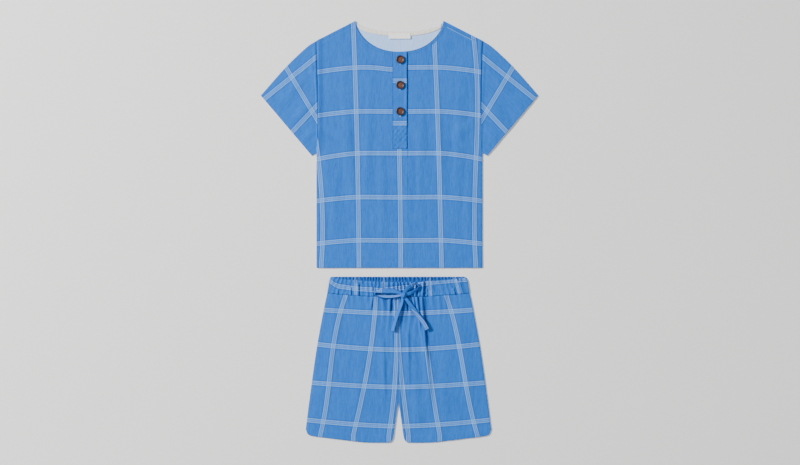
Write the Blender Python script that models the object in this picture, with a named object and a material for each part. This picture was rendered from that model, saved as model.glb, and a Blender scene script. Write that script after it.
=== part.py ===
"""A child's cotton summer set, laid flat: a half-placket top above drawstring shorts.

Metres, +Z up. The set lies on the plane z = 0, its fronts face up and +Y points to the
neck. The origin is the middle of the laid-out set, on the plane it lies on. "Left" and
"right" are as seen from above. Every cut piece of cloth is its own thin-walled solid.
"""
import math

import bmesh
import bpy
from mathutils import Vector
from mathutils.geometry import delaunay_2d_cdt

# ---- driving dimensions ----
SET_LENGTH = 0.7716
TOP_LENGTH = 0.4512
SET_GAP = 0.0160

WALL = 0.0012
GAP = 0.0003
LAYER = WALL + GAP

BODY_HALF = 0.1514
ARMHOLE_SCOOP = 0.0024
NECK_HALF = 0.0801
FRONT_NECK_DEPTH = 0.0566
BACK_NECK_DEPTH = 0.0198
SHOULDER_DROP = 0.0364
ARMHOLE_LENGTH = 0.2042

SLEEVE_BEND = (0.0195, -0.0140)
SLEEVE_CORNER = (0.1014, -0.1004)
CUFF_CORNER = (0.0086, -0.2098)
SLEEVE_UNDERARM = (0.0003, -0.2050)

PLACKET_X = 0.0013
PLACKET_WIDTH = 0.0256
PLACKET_LENGTH = 0.1775
PLACKET_LAP = 0.0010
UNDER_SHIFT = 0.0010

TAPE_WIDTH = 0.0080
TAPE_WALL = 0.0010
LABEL_WIDTH = 0.0420
LABEL_HEIGHT = 0.0100
LABEL_DROP = 0.0034

BUTTON_RADIUS = 0.0076
BUTTON_HEIGHT = 0.0030
BUTTON_RIM = 0.0018
BUTTON_DISH = 0.0009
BUTTON_HOLE_RADIUS = 0.0009
BUTTON_HOLE_PITCH = 0.0034
BUTTON_DROPS = (0.0145, 0.0610, 0.1090)
BUTTON_X = 0.0014

SHORTS_X = -0.0018
WAIST_HALF = 0.1262
WAIST_SEAM_HALF = 0.1300
WAISTBAND_HEIGHT = 0.0290
WAIST_DIP = 0.0085
WAIST_CORNER = 0.0070
HEM_PEEK = 0.0026
RUCHES = 21
RUCHE_HEIGHT = 0.0013

CORD_RADIUS = 0.0022
CORD_STEPS = 30
KNOT_CENTRE = (0.0048, -0.1135, 0.0088)
KNOT_RADII = (0.0066, 0.0056, 0.0035)

TOP_Y = SET_LENGTH / 2
HEM_Y = TOP_Y - TOP_LENGTH
WAIST_Y = HEM_Y - SET_GAP
SHORTS_BOTTOM = -SET_LENGTH / 2
SHOULDER_Y = TOP_Y - SHOULDER_DROP
UNDERARM_Y = SHOULDER_Y - ARMHOLE_LENGTH
PLACKET_TOP_Y = TOP_Y - FRONT_NECK_DEPTH
PLACKET_BOTTOM_Y = PLACKET_TOP_Y - PLACKET_LENGTH


# ---- curves in the plane ----
def smooth_route(points, steps):
    """A Catmull-Rom curve through points of any dimension, `steps` segments per span."""
    vectors = [Vector(point) for point in points]
    ends = [2 * vectors[0] - vectors[1]] + vectors + [2 * vectors[-1] - vectors[-2]]
    route = []
    for index in range(1, len(ends) - 2):
        a, b, c, d = ends[index - 1:index + 3]
        for step in range(steps):
            t = step / steps
            route.append(0.5 * (2 * b + (c - a) * t + (2 * a - 5 * b + 4 * c - d) * t * t
                                + (3 * b - a - 3 * c + d) * t ** 3))
    route.append(vectors[-1])
    return route


def even_points(route, count):
    """`count` + 1 points at equal distances along a route."""
    lengths = [0.0]
    for before, after in zip(route, route[1:]):
        lengths.append(lengths[-1] + (after - before).length)
    points = []
    index = 0
    for step in range(count + 1):
        goal = lengths[-1] * step / count
        while index < len(route) - 2 and lengths[index + 1] < goal:
            index += 1
        span = lengths[index + 1] - lengths[index]
        points.append(route[index].lerp(route[index + 1], (goal - lengths[index]) / span))
    return points


def neck_y(x, depth):
    """Height of a scooped neckline at x, for a scoop of this depth."""
    reach = min(abs(x) / NECK_HALF, 1.0)
    return TOP_Y - depth * (1 - reach ** 2.2) ** 0.6


def neckline(depth, count):
    """The neckline's points from its right end to its left end, closer at the ends."""
    points = []
    for step in range(count + 1):
        x = NECK_HALF * math.cos(math.pi * step / count)
        points.append((x, neck_y(x, depth)))
    return points


def armhole_x(y):
    """Half-width of the body at a height on the armhole or on the side seam."""
    if y <= UNDERARM_Y:
        return BODY_HALF
    share = (y - UNDERARM_Y) / ARMHOLE_LENGTH
    return BODY_HALF - ARMHOLE_SCOOP * math.sin(math.pi * share)


def body_side(count):
    """The body's right edge, from the hem up to the shoulder tip."""
    points = [(BODY_HALF, HEM_Y), (BODY_HALF, (HEM_Y + UNDERARM_Y) / 2)]
    for step in range(count + 1):
        y = UNDERARM_Y + ARMHOLE_LENGTH * step / count
        points.append((armhole_x(y), y))
    return points


def mirrored(points):
    """The same points on the other side of x = 0, in reverse order."""
    return [(-x, y) for x, y in reversed(points)]


def shorts_side(top_half, top_y):
    """The outer edge of one leg, from the waist seam down to the hem corner."""
    marks = [(top_half, top_y), (0.1365, -0.1420), (0.1498, -0.2156), (0.1626, -0.3069), (0.1692, -0.3600)]
    return even_points(smooth_route(marks, 6), 12)


def leg_outline(seam_side_y, seam_middle_y, hem_lift):
    """One leg's panel on the +X side of the centre seam, waist seam to hem and back."""
    half_gap = GAP / 2
    outline = [(half_gap, seam_middle_y)]
    for step in range(1, 9):
        share = step / 9
        dip = (seam_middle_y - seam_side_y) * (1 - share ** 2)
        outline.append((WAIST_SEAM_HALF * share, seam_side_y + dip))
    outline += [tuple(point) for point in shorts_side(WAIST_SEAM_HALF, seam_side_y)]
    hem = [(0.1655, -0.3690), (0.1570, -0.3726), (0.1150, -0.3785), (0.0640, -0.3847), (0.0240, SHORTS_BOTTOM)]
    outline += [(x, y + hem_lift) for x, y in hem]
    inner = [(0.0148, -0.3842), (0.0104, -0.3775), (0.0082, -0.3660), (0.0042, -0.3356), (0.0012, -0.3150)]
    outline += [(x, max(y, SHORTS_BOTTOM + hem_lift + 0.001)) for x, y in inner]
    outline.append((half_gap, -0.3098))
    return outline


# ---- heights of the upper layer ----
def fold(x, y, start, end, width, height):
    """A soft ridge (or a trough, with a negative height) from start to end, fading at both."""
    ax, ay = start
    bx, by = end
    length_squared = (bx - ax) ** 2 + (by - ay) ** 2
    along = ((x - ax) * (bx - ax) + (y - ay) * (by - ay)) / length_squared
    if along <= 0 or along >= 1:
        return 0.0
    across = ((x - ax) * (by - ay) - (y - ay) * (bx - ax)) / math.sqrt(length_squared)
    return height * math.sin(math.pi * along) * math.exp(-(across / width) ** 2)


def edge_fade(distance, reach):
    """0 at an edge, rising smoothly to 1 at `reach` from it."""
    share = max(0.0, min(1.0, distance / reach))
    return share * share * (3 - 2 * share)


TOP_FOLDS = [
    ((-0.110, 0.300), (-0.085, 0.080), 0.012, 0.0016),
    ((-0.060, 0.240), (-0.070, -0.020), 0.013, 0.0014),
    ((0.062, 0.300), (0.074, 0.060), 0.012, 0.0015),
    ((0.120, 0.250), (0.104, 0.010), 0.013, 0.0016),
    ((-0.020, 0.120), (-0.028, -0.060), 0.012, 0.0012),
    ((0.036, 0.110), (0.030, -0.060), 0.012, 0.0012),
]

SHORTS_FOLDS = [
    ((0.0360, -0.100), (0.0500, -0.265), 0.0060, 0.0026),
    ((0.0250, -0.108), (0.0330, -0.160), 0.0050, 0.0014),
    ((-0.0250, -0.108), (-0.0290, -0.165), 0.0055, 0.0014),
    ((-0.0520, -0.106), (-0.0600, -0.180), 0.0070, 0.0012),
    ((-0.0950, -0.104), (-0.1080, -0.200), 0.0090, 0.0010),
    ((0.0900, -0.104), (0.1060, -0.200), 0.0090, 0.0010),
    ((-0.0700, -0.230), (-0.0850, -0.370), 0.0100, 0.0012),
    ((0.0780, -0.230), (0.0900, -0.370), 0.0100, 0.0012),
]


def top_lift(x, y):
    """How far the top's front rises above its flat place on the back."""
    side = edge_fade(armhole_x(y) - abs(x), 0.030)
    ends = edge_fade(y - HEM_Y, 0.030)
    band = edge_fade(abs(x - PLACKET_X) - PLACKET_WIDTH / 2 - 0.004, 0.020)
    if y < PLACKET_BOTTOM_Y - 0.02:
        band = 1.0
    folds = sum(fold(x, y, *line) for line in TOP_FOLDS)
    return side * ends * (0.0006 + band * folds)


def shorts_lift(x, y):
    """How far the shorts' front rises above its flat place on the back."""
    half = 0.1300 + 0.0400 * min(1.0, max(0.0, (-0.1114 - y) / 0.25)) ** 0.8
    side = edge_fade(half - abs(x - SHORTS_X), 0.025)
    return side * (0.0003 + sum(fold(x, y, *line) for line in SHORTS_FOLDS))


def waistband_lift(x, height):
    """Ruching of the elastic waistband: uneven rounded ribs that fade at the side ends."""
    share = (x - SHORTS_X) / WAIST_HALF
    phase = RUCHES * math.pi * share + 1.1 * math.sin(3.1 * share) + 0.7 * math.sin(7.3 * share)
    ribs = 0.5 + 0.5 * math.cos(phase)
    return height * ribs * edge_fade(1 - abs(share), 0.10)


def flat(x, y):
    return 0.0


# ---- solids ----
def add_object(name, mesh, material):
    obj = bpy.data.objects.new(name, mesh)
    bpy.context.scene.collection.objects.link(obj)
    obj.data.materials.append(material)
    return obj


def mesh_from(name, vertices, faces):
    mesh = bpy.data.meshes.new(name)
    mesh.from_pydata(vertices, [], faces)
    work = bmesh.new()
    work.from_mesh(mesh)
    bmesh.ops.recalc_face_normals(work, faces=work.faces)
    work.to_mesh(mesh)
    work.free()
    return mesh


def inside(point, outline):
    """Whether a point is inside a closed outline, by counting crossings."""
    x, y = point
    found = False
    for (ax, ay), (bx, by) in zip(outline, outline[1:] + outline[:1]):
        if (ay > y) != (by > y) and x < ax + (y - ay) * (bx - ax) / (by - ay):
            found = not found
    return found


def edge_distance(point, outline):
    """Distance from a point to the nearest edge of an outline."""
    place = Vector(point)
    nearest = math.inf
    for start, end in zip(outline, outline[1:] + outline[:1]):
        a = Vector(start)
        run = Vector(end) - a
        along = max(0.0, min(1.0, (place - a).dot(run) / run.length_squared))
        nearest = min(nearest, (place - a - along * run).length)
    return nearest


def divided(outline, spacing):
    """The outline with its long edges divided, so that no edge is over `spacing`."""
    points = []
    for (ax, ay), (bx, by) in zip(outline, outline[1:] + outline[:1]):
        count = max(1, math.ceil(math.hypot(bx - ax, by - ay) / spacing))
        for step in range(count):
            share = step / count
            points.append((ax + (bx - ax) * share, ay + (by - ay) * share))
    return points


def panel(name, outline, spacing, base, lift, wall, material):
    """A cut piece of cloth: its outline filled with triangles, lifted, and given a wall."""
    edge = divided(outline, spacing)
    points = list(edge)
    if lift is not flat:
        xs = [x for x, y in edge]
        ys = [y for x, y in edge]
        rows = round((max(ys) - min(ys)) / spacing)
        columns = round((max(xs) - min(xs)) / spacing)
        for row in range(1, rows):
            for column in range(columns + 1):
                place = (min(xs) + (column + 0.5 * (row % 2)) * spacing, min(ys) + row * spacing)
                if inside(place, edge) and edge_distance(place, edge) > 0.45 * spacing:
                    points.append(place)
    count = len(edge)
    loop = [(index, (index + 1) % count) for index in range(count)]
    flat_points, _, triangles, _, _, _ = delaunay_2d_cdt([Vector(point) for point in points], loop, [], 1, 1e-7)
    total = len(flat_points)
    lower = [(p.x, p.y, base + lift(p.x, p.y)) for p in flat_points]
    vertices = lower + [(x, y, z + wall) for x, y, z in lower]
    faces = [tuple(reversed(face)) for face in triangles]
    faces += [tuple(corner + total for corner in face) for face in triangles]
    used = {}
    for face in triangles:
        for a, b in zip(face, face[1:] + face[:1]):
            used[(a, b)] = used.get((a, b), 0) + 1
    for a, b in used:
        if (b, a) not in used:
            faces.append((a, b, b + total, a + total))
    return add_object(name, mesh_from(name, vertices, faces), material)


def grid_panel(name, column_tops, column_bottoms, rows, base, lift, wall, material):
    """A cut piece of cloth as columns between a top edge and a bottom edge."""
    columns = len(column_tops)
    lower = []
    for row in range(rows + 1):
        share = row / rows
        for (tx, ty), (bx, by) in zip(column_tops, column_bottoms):
            x = tx + (bx - tx) * share
            y = ty + (by - ty) * share
            lower.append((x, y, base + lift(x, y)))
    total = len(lower)
    vertices = lower + [(x, y, z + wall) for x, y, z in lower]
    faces = []
    for row in range(rows):
        for column in range(columns - 1):
            a = row * columns + column
            face = (a, a + 1, a + columns + 1, a + columns)
            faces.append(face)
            faces.append(tuple(corner + total for corner in reversed(face)))
    rim = list(range(columns))
    rim += [row * columns + columns - 1 for row in range(1, rows + 1)]
    rim += [rows * columns + column for column in range(columns - 2, -1, -1)]
    rim += [row * columns for row in range(rows - 1, 0, -1)]
    for a, b in zip(rim, rim[1:] + rim[:1]):
        faces.append((b, a, a + total, b + total))
    return add_object(name, mesh_from(name, vertices, faces), material)


def sleeve(name, side, material):
    """A short sleeve as one flattened tube, open at the armhole and at the cuff."""
    tip = Vector((BODY_HALF + GAP, SHOULDER_Y))
    marks = [(0.0, 0.0), SLEEVE_BEND, (0.0560, -0.0490), SLEEVE_CORNER]
    fold_edge = even_points([tip + point for point in smooth_route(marks, 6)], 9)
    under_start = tip + Vector((0.0, -ARMHOLE_LENGTH))
    under_end = tip + Vector(CUFF_CORNER)
    sections = len(fold_edge)
    across = 9
    edge_inset = 0.0016
    rings = []
    for index, top in enumerate(fold_edge):
        share = index / (sections - 1)
        bottom = under_start.lerp(under_end, share)
        run = bottom - top
        unit = run.normalized()
        outer = [(top, LAYER - GAP / 2)]
        inner = [(top + unit * WALL, LAYER - GAP / 2)]
        front = []
        for step in range(across):
            distance = edge_inset + (run.length - 2 * edge_inset) * step / (across - 1)
            place = top + unit * distance
            scoop = ARMHOLE_SCOOP * math.sin(math.pi * step / (across - 1)) * (1 - share) ** 2
            place = place - Vector((scoop, 0.0))
            puff = 0.0022 * math.sin(math.pi * step / (across - 1)) * math.sin(math.pi * share) ** 0.5
            puff += 0.0008 * math.sin(5.0 * step / (across - 1) + 2.0 * share) ** 2 * share * (1 - share)
            front.append((place, puff))
        outer += [(place, LAYER + WALL + puff) for place, puff in front]
        inner += [(place, LAYER + puff) for place, puff in front]
        outer.append((bottom, LAYER - GAP / 2))
        inner.append((bottom - unit * WALL, LAYER - GAP / 2))
        outer += [(place, 0.0) for place, puff in reversed(front)]
        inner += [(place, WALL) for place, puff in reversed(front)]
        rings.append(([(side * p.x, p.y, z) for p, z in outer], [(side * p.x, p.y, z) for p, z in inner]))
    around = len(rings[0][0])
    vertices = []
    for outer, inner in rings:
        vertices += outer + inner
    stride = 2 * around
    faces = []
    for index in range(sections - 1):
        for shell in (0, around):
            for step in range(around):
                a = index * stride + shell + step
                b = index * stride + shell + (step + 1) % around
                faces.append((a, b, b + stride, a + stride))
    for index in (0, sections - 1):
        for step in range(around):
            a = index * stride + step
            b = index * stride + (step + 1) % around
            faces.append((a, b, b + around, a + around))
    return add_object(name, mesh_from(name, vertices, faces), material)


def button(name, place, base, material):
    """A turned four-hole button with a raised rim, standing just clear of the band."""
    profile = [(0.0, 0.0), (BUTTON_RADIUS - 0.0010, 0.0), (BUTTON_RADIUS, 0.0009),
               (BUTTON_RADIUS, BUTTON_HEIGHT - 0.0008), (BUTTON_RADIUS - 0.0008, BUTTON_HEIGHT),
               (BUTTON_RADIUS - BUTTON_RIM, BUTTON_HEIGHT), (BUTTON_RADIUS - BUTTON_RIM - 0.0008,
               BUTTON_HEIGHT - BUTTON_DISH), (0.0, BUTTON_HEIGHT - BUTTON_DISH)]
    work = bmesh.new()
    spine = [work.verts.new((radius, 0.0, height)) for radius, height in profile]
    edges = [work.edges.new((a, b)) for a, b in zip(spine, spine[1:])]
    bmesh.ops.spin(work, geom=spine + edges, axis=(0, 0, 1), cent=(0, 0, 0), steps=20,
                   angle=math.tau, use_merge=True)
    bmesh.ops.remove_doubles(work, verts=work.verts, dist=1e-6)
    bmesh.ops.recalc_face_normals(work, faces=work.faces)
    mesh = bpy.data.meshes.new(name)
    work.to_mesh(mesh)
    work.free()
    obj = add_object(name, mesh, material)
    obj.location = (place[0], place[1], base)
    for column in (-0.5, 0.5):
        for row in (-0.5, 0.5):
            bpy.ops.mesh.primitive_cylinder_add(vertices=8, radius=BUTTON_HOLE_RADIUS, depth=0.02)
            cutter = bpy.context.object
            cutter.name = f"{name}_hole_{column}_{row}"
            cutter.parent = obj
            cutter.location = (column * BUTTON_HOLE_PITCH, row * BUTTON_HOLE_PITCH, 0.0)
            cutter.hide_render = True
            cutter.display_type = "WIRE"
            hole = obj.modifiers.new("hole", "BOOLEAN")
            hole.object = cutter
            hole.operation = "DIFFERENCE"
    return obj


def cord(name, marks, material):
    """A stretch of the drawstring: a round tube along a smooth route, closed at both ends."""
    route = even_points(smooth_route(marks, 8), CORD_STEPS)
    curve = bpy.data.curves.new(name, "CURVE")
    curve.dimensions = "3D"
    curve.bevel_depth = CORD_RADIUS
    curve.bevel_resolution = 2
    curve.use_fill_caps = True
    spline = curve.splines.new("POLY")
    spline.points.add(len(route) - 1)
    for point, place in zip(spline.points, route):
        point.co = (*place, 1.0)
    obj = bpy.data.objects.new(name, curve)
    bpy.context.scene.collection.objects.link(obj)
    obj.data.materials.append(material)
    return obj


def material(name, colour, roughness):
    made = bpy.data.materials.new(name)
    made.use_nodes = True
    shader = made.node_tree.nodes["Principled BSDF"]
    shader.inputs["Base Color"].default_value = (*colour, 1.0)
    shader.inputs["Roughness"].default_value = roughness
    shader.inputs["Metallic"].default_value = 0.0
    return made


for old in list(bpy.data.objects):
    bpy.data.objects.remove(old, do_unlink=True)

cotton = material("check_cotton", (0.085, 0.275, 0.605), 0.85)
tape = material("ecru_tape", (0.760, 0.700, 0.620), 0.85)
satin = material("label_satin", (0.820, 0.800, 0.760), 0.55)
coconut = material("button_coconut", (0.190, 0.070, 0.035), 0.45)
tie = material("drawstring_cotton", (0.080, 0.255, 0.570), 0.85)

# ---- the top ----
shoulder_run = [(armhole_x(SHOULDER_Y), SHOULDER_Y), (NECK_HALF, TOP_Y)]
right_edge = body_side(9)
back_outline = right_edge + neckline(BACK_NECK_DEPTH, 20) + mirrored(right_edge)
panel("top_back", back_outline, 0.030, 0.0, flat, WALL, cotton)

slot_left = PLACKET_X - PLACKET_WIDTH / 2
slot_right = PLACKET_X + PLACKET_WIDTH / 2
slot_bottom = PLACKET_BOTTOM_Y + 0.002
front_neck = neckline(FRONT_NECK_DEPTH, 24)
right_of_slot = [point for point in front_neck if point[0] > slot_right + 0.002]
left_of_slot = [point for point in front_neck if point[0] < slot_left - 0.002]
slot = [(slot_right, neck_y(slot_right, FRONT_NECK_DEPTH)), (slot_right, slot_bottom),
        (slot_left, slot_bottom), (slot_left, neck_y(slot_left, FRONT_NECK_DEPTH))]
front_outline = right_edge + right_of_slot + slot + left_of_slot + mirrored(right_edge)
panel("top_front", front_outline, 0.0145, LAYER, top_lift, WALL, cotton)

for side, label in ((-1, "left"), (1, "right")):
    sleeve(f"sleeve_{label}", side, cotton)


def band_outline(left, right, bottom):
    """A placket band from the neckline down to `bottom`, with a curved top."""
    top = []
    for step in range(5):
        x = right + (left - right) * step / 4
        top.append((x, neck_y(x, FRONT_NECK_DEPTH)))
    return [(left, bottom), (right, bottom)] + top


under = band_outline(slot_left + GAP + UNDER_SHIFT, slot_right - GAP, slot_bottom + GAP)
panel("placket_under", under, 0.030, LAYER, top_lift, WALL, cotton)
over = band_outline(slot_left - PLACKET_LAP, slot_right + PLACKET_LAP, PLACKET_BOTTOM_Y)
panel("placket_over", over, 0.030, 2 * LAYER, top_lift, WALL, cotton)

tape_upper = []
tape_lower = []
for step in range(23):
    x = (NECK_HALF - 0.0030) * math.cos(math.pi * step / 22)
    upper = neck_y(x, BACK_NECK_DEPTH) - 0.0004
    lowest = neck_y(x, FRONT_NECK_DEPTH) + 0.0006
    tape_upper.append((x, upper))
    tape_lower.append((x * 0.985, max(upper - TAPE_WIDTH, lowest)))
panel("neck_tape", tape_upper + tape_lower[::-1], 0.030, LAYER, flat, TAPE_WALL, tape)

label_top = TOP_Y - BACK_NECK_DEPTH - LABEL_DROP
label_half = LABEL_WIDTH / 2
label_outline = [(-label_half + PLACKET_X, label_top - LABEL_HEIGHT), (label_half + PLACKET_X, label_top - LABEL_HEIGHT),
                 (label_half + PLACKET_X, label_top), (-label_half + PLACKET_X, label_top)]
panel("neck_label", label_outline, 0.030, LAYER + TAPE_WALL + GAP, flat, TAPE_WALL, satin)

button_base = 2 * LAYER + WALL + GAP + 0.0006
for number, drop in enumerate(BUTTON_DROPS, start=1):
    button(f"button_{number}", (BUTTON_X, PLACKET_TOP_Y - drop), button_base, coconut)

# ---- the shorts ----
seam_side_y = WAIST_Y - WAISTBAND_HEIGHT - 0.0012
seam_middle_y = seam_side_y - WAIST_DIP + 0.0015
for side, label in ((-1, "left"), (1, "right")):
    for layer, middle, lift_hem, base, lift in (
            ("back", seam_side_y, 0.0, 0.0, flat), ("front", seam_middle_y, HEM_PEEK, LAYER, shorts_lift)):
        half = leg_outline(seam_side_y, middle, lift_hem)
        outline = [(SHORTS_X + side * x, y) for x, y in half]
        outline = outline if side < 0 else outline[::-1]
        spacing = 0.030 if layer == "back" else 0.0110
        panel(f"shorts_{layer}_{label}", outline, spacing, base, lift, WALL, cotton)


def waistband(layer, columns, rows, dip, base, ruche):
    """One half of the elastic waistband, between its rim and the seam above the legs."""
    tops = []
    bottoms = []
    for column in range(columns + 1):
        share = 2 * column / columns - 1
        sag = dip * (1 - share ** 2)
        corner = WAIST_CORNER * (1 - math.sqrt(max(0.0, 1 - max(0.0, (abs(share) - 0.955) / 0.045) ** 2)))
        tops.append((SHORTS_X + WAIST_HALF * share, WAIST_Y - sag - corner - (0.0014 if dip else 0.0)))
        seam = seam_side_y - (dip - 0.0015 if dip else 0.0) * (1 - share ** 2)
        bottoms.append((SHORTS_X + WAIST_SEAM_HALF * share, seam + GAP))

    def lift(x, y):
        return waistband_lift(x, ruche)

    grid_panel(f"waistband_{layer}", tops, bottoms, rows, base, lift, WALL, cotton)


waistband("back", 30, 1, 0.0, 0.0, 0.0)
waistband("front", 84, 3, WAIST_DIP, LAYER, RUCHE_HEIGHT)

# ---- the drawstring ----
cord("tie_loop_left", [(-0.0024, -0.1108, 0.0084), (-0.0150, -0.1092, 0.0080), (-0.0290, -0.1090, 0.0076),
                       (-0.0390, -0.1106, 0.0074), (-0.0428, -0.1142, 0.0074), (-0.0385, -0.1176, 0.0074),
                       (-0.0280, -0.1190, 0.0076), (-0.0150, -0.1186, 0.0078), (-0.0022, -0.1162, 0.0082)], tie)
cord("tie_loop_right", [(0.0102, -0.1082, 0.0092), (0.0170, -0.1010, 0.0084), (0.0260, -0.0946, 0.0078),
                        (0.0332, -0.0936, 0.0076), (0.0366, -0.0980, 0.0076), (0.0322, -0.1046, 0.0077),
                        (0.0224, -0.1096, 0.0080), (0.0122, -0.1140, 0.0084)], tie)
cord("tie_tail_left", [(0.0020, -0.1192, 0.0082), (-0.0012, -0.1290, 0.0074), (-0.0052, -0.1450, 0.0068),
                       (-0.0086, -0.1640, 0.0066), (-0.0116, -0.1822, 0.0066)], tie)
cord("tie_tail_right", [(0.0086, -0.1190, 0.0082), (0.0165, -0.1300, 0.0078), (0.0280, -0.1470, 0.0080),
                        (0.0385, -0.1630, 0.0082), (0.0490, -0.1790, 0.0080)], tie)

bpy.ops.mesh.primitive_uv_sphere_add(segments=16, ring_count=10, radius=1.0)
knot = bpy.context.object
knot.name = "tie_knot"
knot.data.transform(knot.matrix_world.Diagonal((*KNOT_RADII, 1.0)))
knot.location = KNOT_CENTRE
knot.data.materials.append(tie)
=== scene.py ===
"""A child's blue check summer set, laid flat: a half-placket top above drawstring shorts.

Metres, +Z up, the set lies on z = 0 with its fronts up and the neck towards +Y. Each cut
piece of cloth is a thin closed sheet with rolled edges. UV maps say where the cloth's own
pattern is and where shade is painted: "check" holds the distance to the nearest stripe each way,
"weave" the place on the flat cloth, "trim" where stripes are cut off, and "fold" how much painted
shade darkens a place: deep in a fold, at a shaded edge or in a seam.
"""

import math

import bmesh
import bpy
import numpy as np
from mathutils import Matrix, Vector


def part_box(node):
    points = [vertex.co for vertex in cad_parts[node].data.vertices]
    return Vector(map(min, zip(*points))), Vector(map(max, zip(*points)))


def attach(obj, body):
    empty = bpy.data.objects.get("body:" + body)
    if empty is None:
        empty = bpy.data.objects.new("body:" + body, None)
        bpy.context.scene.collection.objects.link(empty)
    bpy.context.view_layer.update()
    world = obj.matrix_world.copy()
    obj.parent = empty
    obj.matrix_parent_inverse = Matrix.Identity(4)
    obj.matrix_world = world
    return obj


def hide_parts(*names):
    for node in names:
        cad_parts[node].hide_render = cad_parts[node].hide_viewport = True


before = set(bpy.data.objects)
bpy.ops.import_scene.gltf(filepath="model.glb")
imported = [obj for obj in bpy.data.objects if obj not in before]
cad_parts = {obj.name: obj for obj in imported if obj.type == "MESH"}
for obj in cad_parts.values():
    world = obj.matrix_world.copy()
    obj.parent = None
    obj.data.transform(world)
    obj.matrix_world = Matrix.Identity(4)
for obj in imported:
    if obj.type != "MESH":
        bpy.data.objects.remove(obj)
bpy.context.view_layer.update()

MM = 0.001
BODY = "root"

# ---- places read from the frame ----
top_low, top_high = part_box("top_front")
placket_low, placket_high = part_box("placket_over")
label_low, label_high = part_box("neck_label")
band_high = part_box("waistband_back")[1]
leg_low, leg_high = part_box("shorts_back_right")
front_leg_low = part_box("shorts_front_right")[0]
knot_low, knot_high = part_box("tie_knot")

TOP_Y = top_high.y
HEM_Y = top_low.y
BODY_HALF = top_high.x

# ---- the cut, in its own sizes ----
WALL = 1.1 * MM
BACK_MIDDLE = 0.6 * MM
FRONT_MIDDLE = 2.05 * MM
ROLL = 1.5 * MM
SEAM_GAP = 0.15 * MM

NECK_HALF = 0.0801
FRONT_NECK_DEPTH = 0.0566
BACK_NECK_DEPTH = 0.0198
SHOULDER_DROP = 0.0364
ARMHOLE_LENGTH = 0.2042
ARMHOLE_SCOOP = 0.0024
SHOULDER_Y = TOP_Y - SHOULDER_DROP
UNDERARM_Y = SHOULDER_Y - ARMHOLE_LENGTH

PLACKET_X = (placket_low.x + placket_high.x) / 2
PLACKET_LAP = 1.0 * MM
SLOT_LEFT = placket_low.x + PLACKET_LAP
SLOT_RIGHT = placket_high.x - PLACKET_LAP
OPEN_EDGE = 0.9 * MM
PLACKET_BOTTOM = placket_low.y
SLOT_BOTTOM = PLACKET_BOTTOM + 2.0 * MM
PLACKET_BOX = 0.0455
BOX_TOP = PLACKET_BOTTOM + PLACKET_BOX

SHORTS_X = (leg_high.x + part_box("shorts_back_left")[0].x) / 2
WAIST_Y = band_high.y
WAIST_HALF = 0.1262
WAIST_SEAM_HALF = 0.1300
WAISTBAND_HEIGHT = 0.0290
WAIST_DIP = 0.0085
SEAM_SIDE_Y = WAIST_Y - WAISTBAND_HEIGHT - 1.2 * MM
SEAM_MIDDLE_Y = SEAM_SIDE_Y - WAIST_DIP + 1.5 * MM
SHORTS_BOTTOM = leg_low.y
HEM_PEEK = front_leg_low.y - leg_low.y

STRIPE_REACH = 0.020
FOLD_DEPTH = 0.9 * MM
PLACKET_MIDDLE = FRONT_MIDDLE + 1.35 * MM
HEM_WIDTH = 15.0 * MM
HEM_STITCH = 13.4 * MM
NECK_STITCH = 5.2 * MM
ARMHOLE_STITCH = 6.5 * MM
SHOULDER_STITCH = 5.5 * MM
FLY_STITCH = 7.0 * MM
# the outer edge of the shorts, in mm from the centre seam
LEG_SIDE = np.array([(169.2, -385.7), (169.2, -360), (162.6, -306.9), (149.8, -215.6), (136.5, -142),
                     (130, -111.4)]) * MM


# ---- small numeric helpers ----
def ease(start, end, value):
    """0 before start, 1 after end, smooth between them."""
    share = np.clip((value - start) / (end - start), 0.0, 1.0)
    return share * share * (3 - 2 * share)


def bell(value, width):
    """A smooth bump, 1 at zero."""
    return np.exp(-(value / width) ** 2)


def ripple(x, y, seed, across, along, count=9):
    """Seeded smooth unevenness, about -1 to 1, with waves `across` wide and `along` long."""
    random = np.random.default_rng(seed)
    total = np.zeros_like(np.asarray(x, dtype=float))
    for _ in range(count):
        a = random.uniform(0.5, 1.4) * random.choice((-1.0, 1.0))
        b = random.uniform(0.2, 1.3)
        total = total + np.cos(2 * np.pi * (a * x / across + b * y / along) + random.uniform(0, 2 * np.pi))
    return total * 0.75 / math.sqrt(count)


def grid_of(*values):
    """Values of every kind of spread, stacked as the last axis of one grid."""
    return np.stack(np.broadcast_arrays(*values), axis=-1)


def beside_line(x, y, ax, ay, bx, by):
    """Each place's share of the way from a to b, and its distance to the right of that line."""
    length = math.hypot(bx - ax, by - ay)
    along = ((x - ax) * (bx - ax) + (y - ay) * (by - ay)) / length ** 2
    return along, ((x - ax) * (by - ay) - (y - ay) * (bx - ax)) / length


def fold(x, y, line):
    """A soft ridge, fading at both ends. Its line is in mm: from x, y, to x, y, width, height."""
    *ends, width, height = np.array(line) * MM
    along, across = beside_line(x, y, *ends)
    return height * np.sin(np.pi * np.clip(along, 0.0, 1.0)) * bell(across, width)


def crease(x, y, line, side=-1.0):
    """A pressed fold: rises slowly and drops sharply on one side. Its line is like a fold's."""
    *ends, width, height = np.array(line) * MM
    along, across = beside_line(x, y, *ends)
    inside = ease(-0.02, 0.12, along) * (1 - ease(0.55, 1.0, along))
    return height * inside * bell(across, np.where(side * across < 0, width, width * 0.20))


def unit(vectors):
    """The same directions, each 1 long."""
    return vectors / np.linalg.norm(vectors, axis=-1, keepdims=True)


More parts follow.
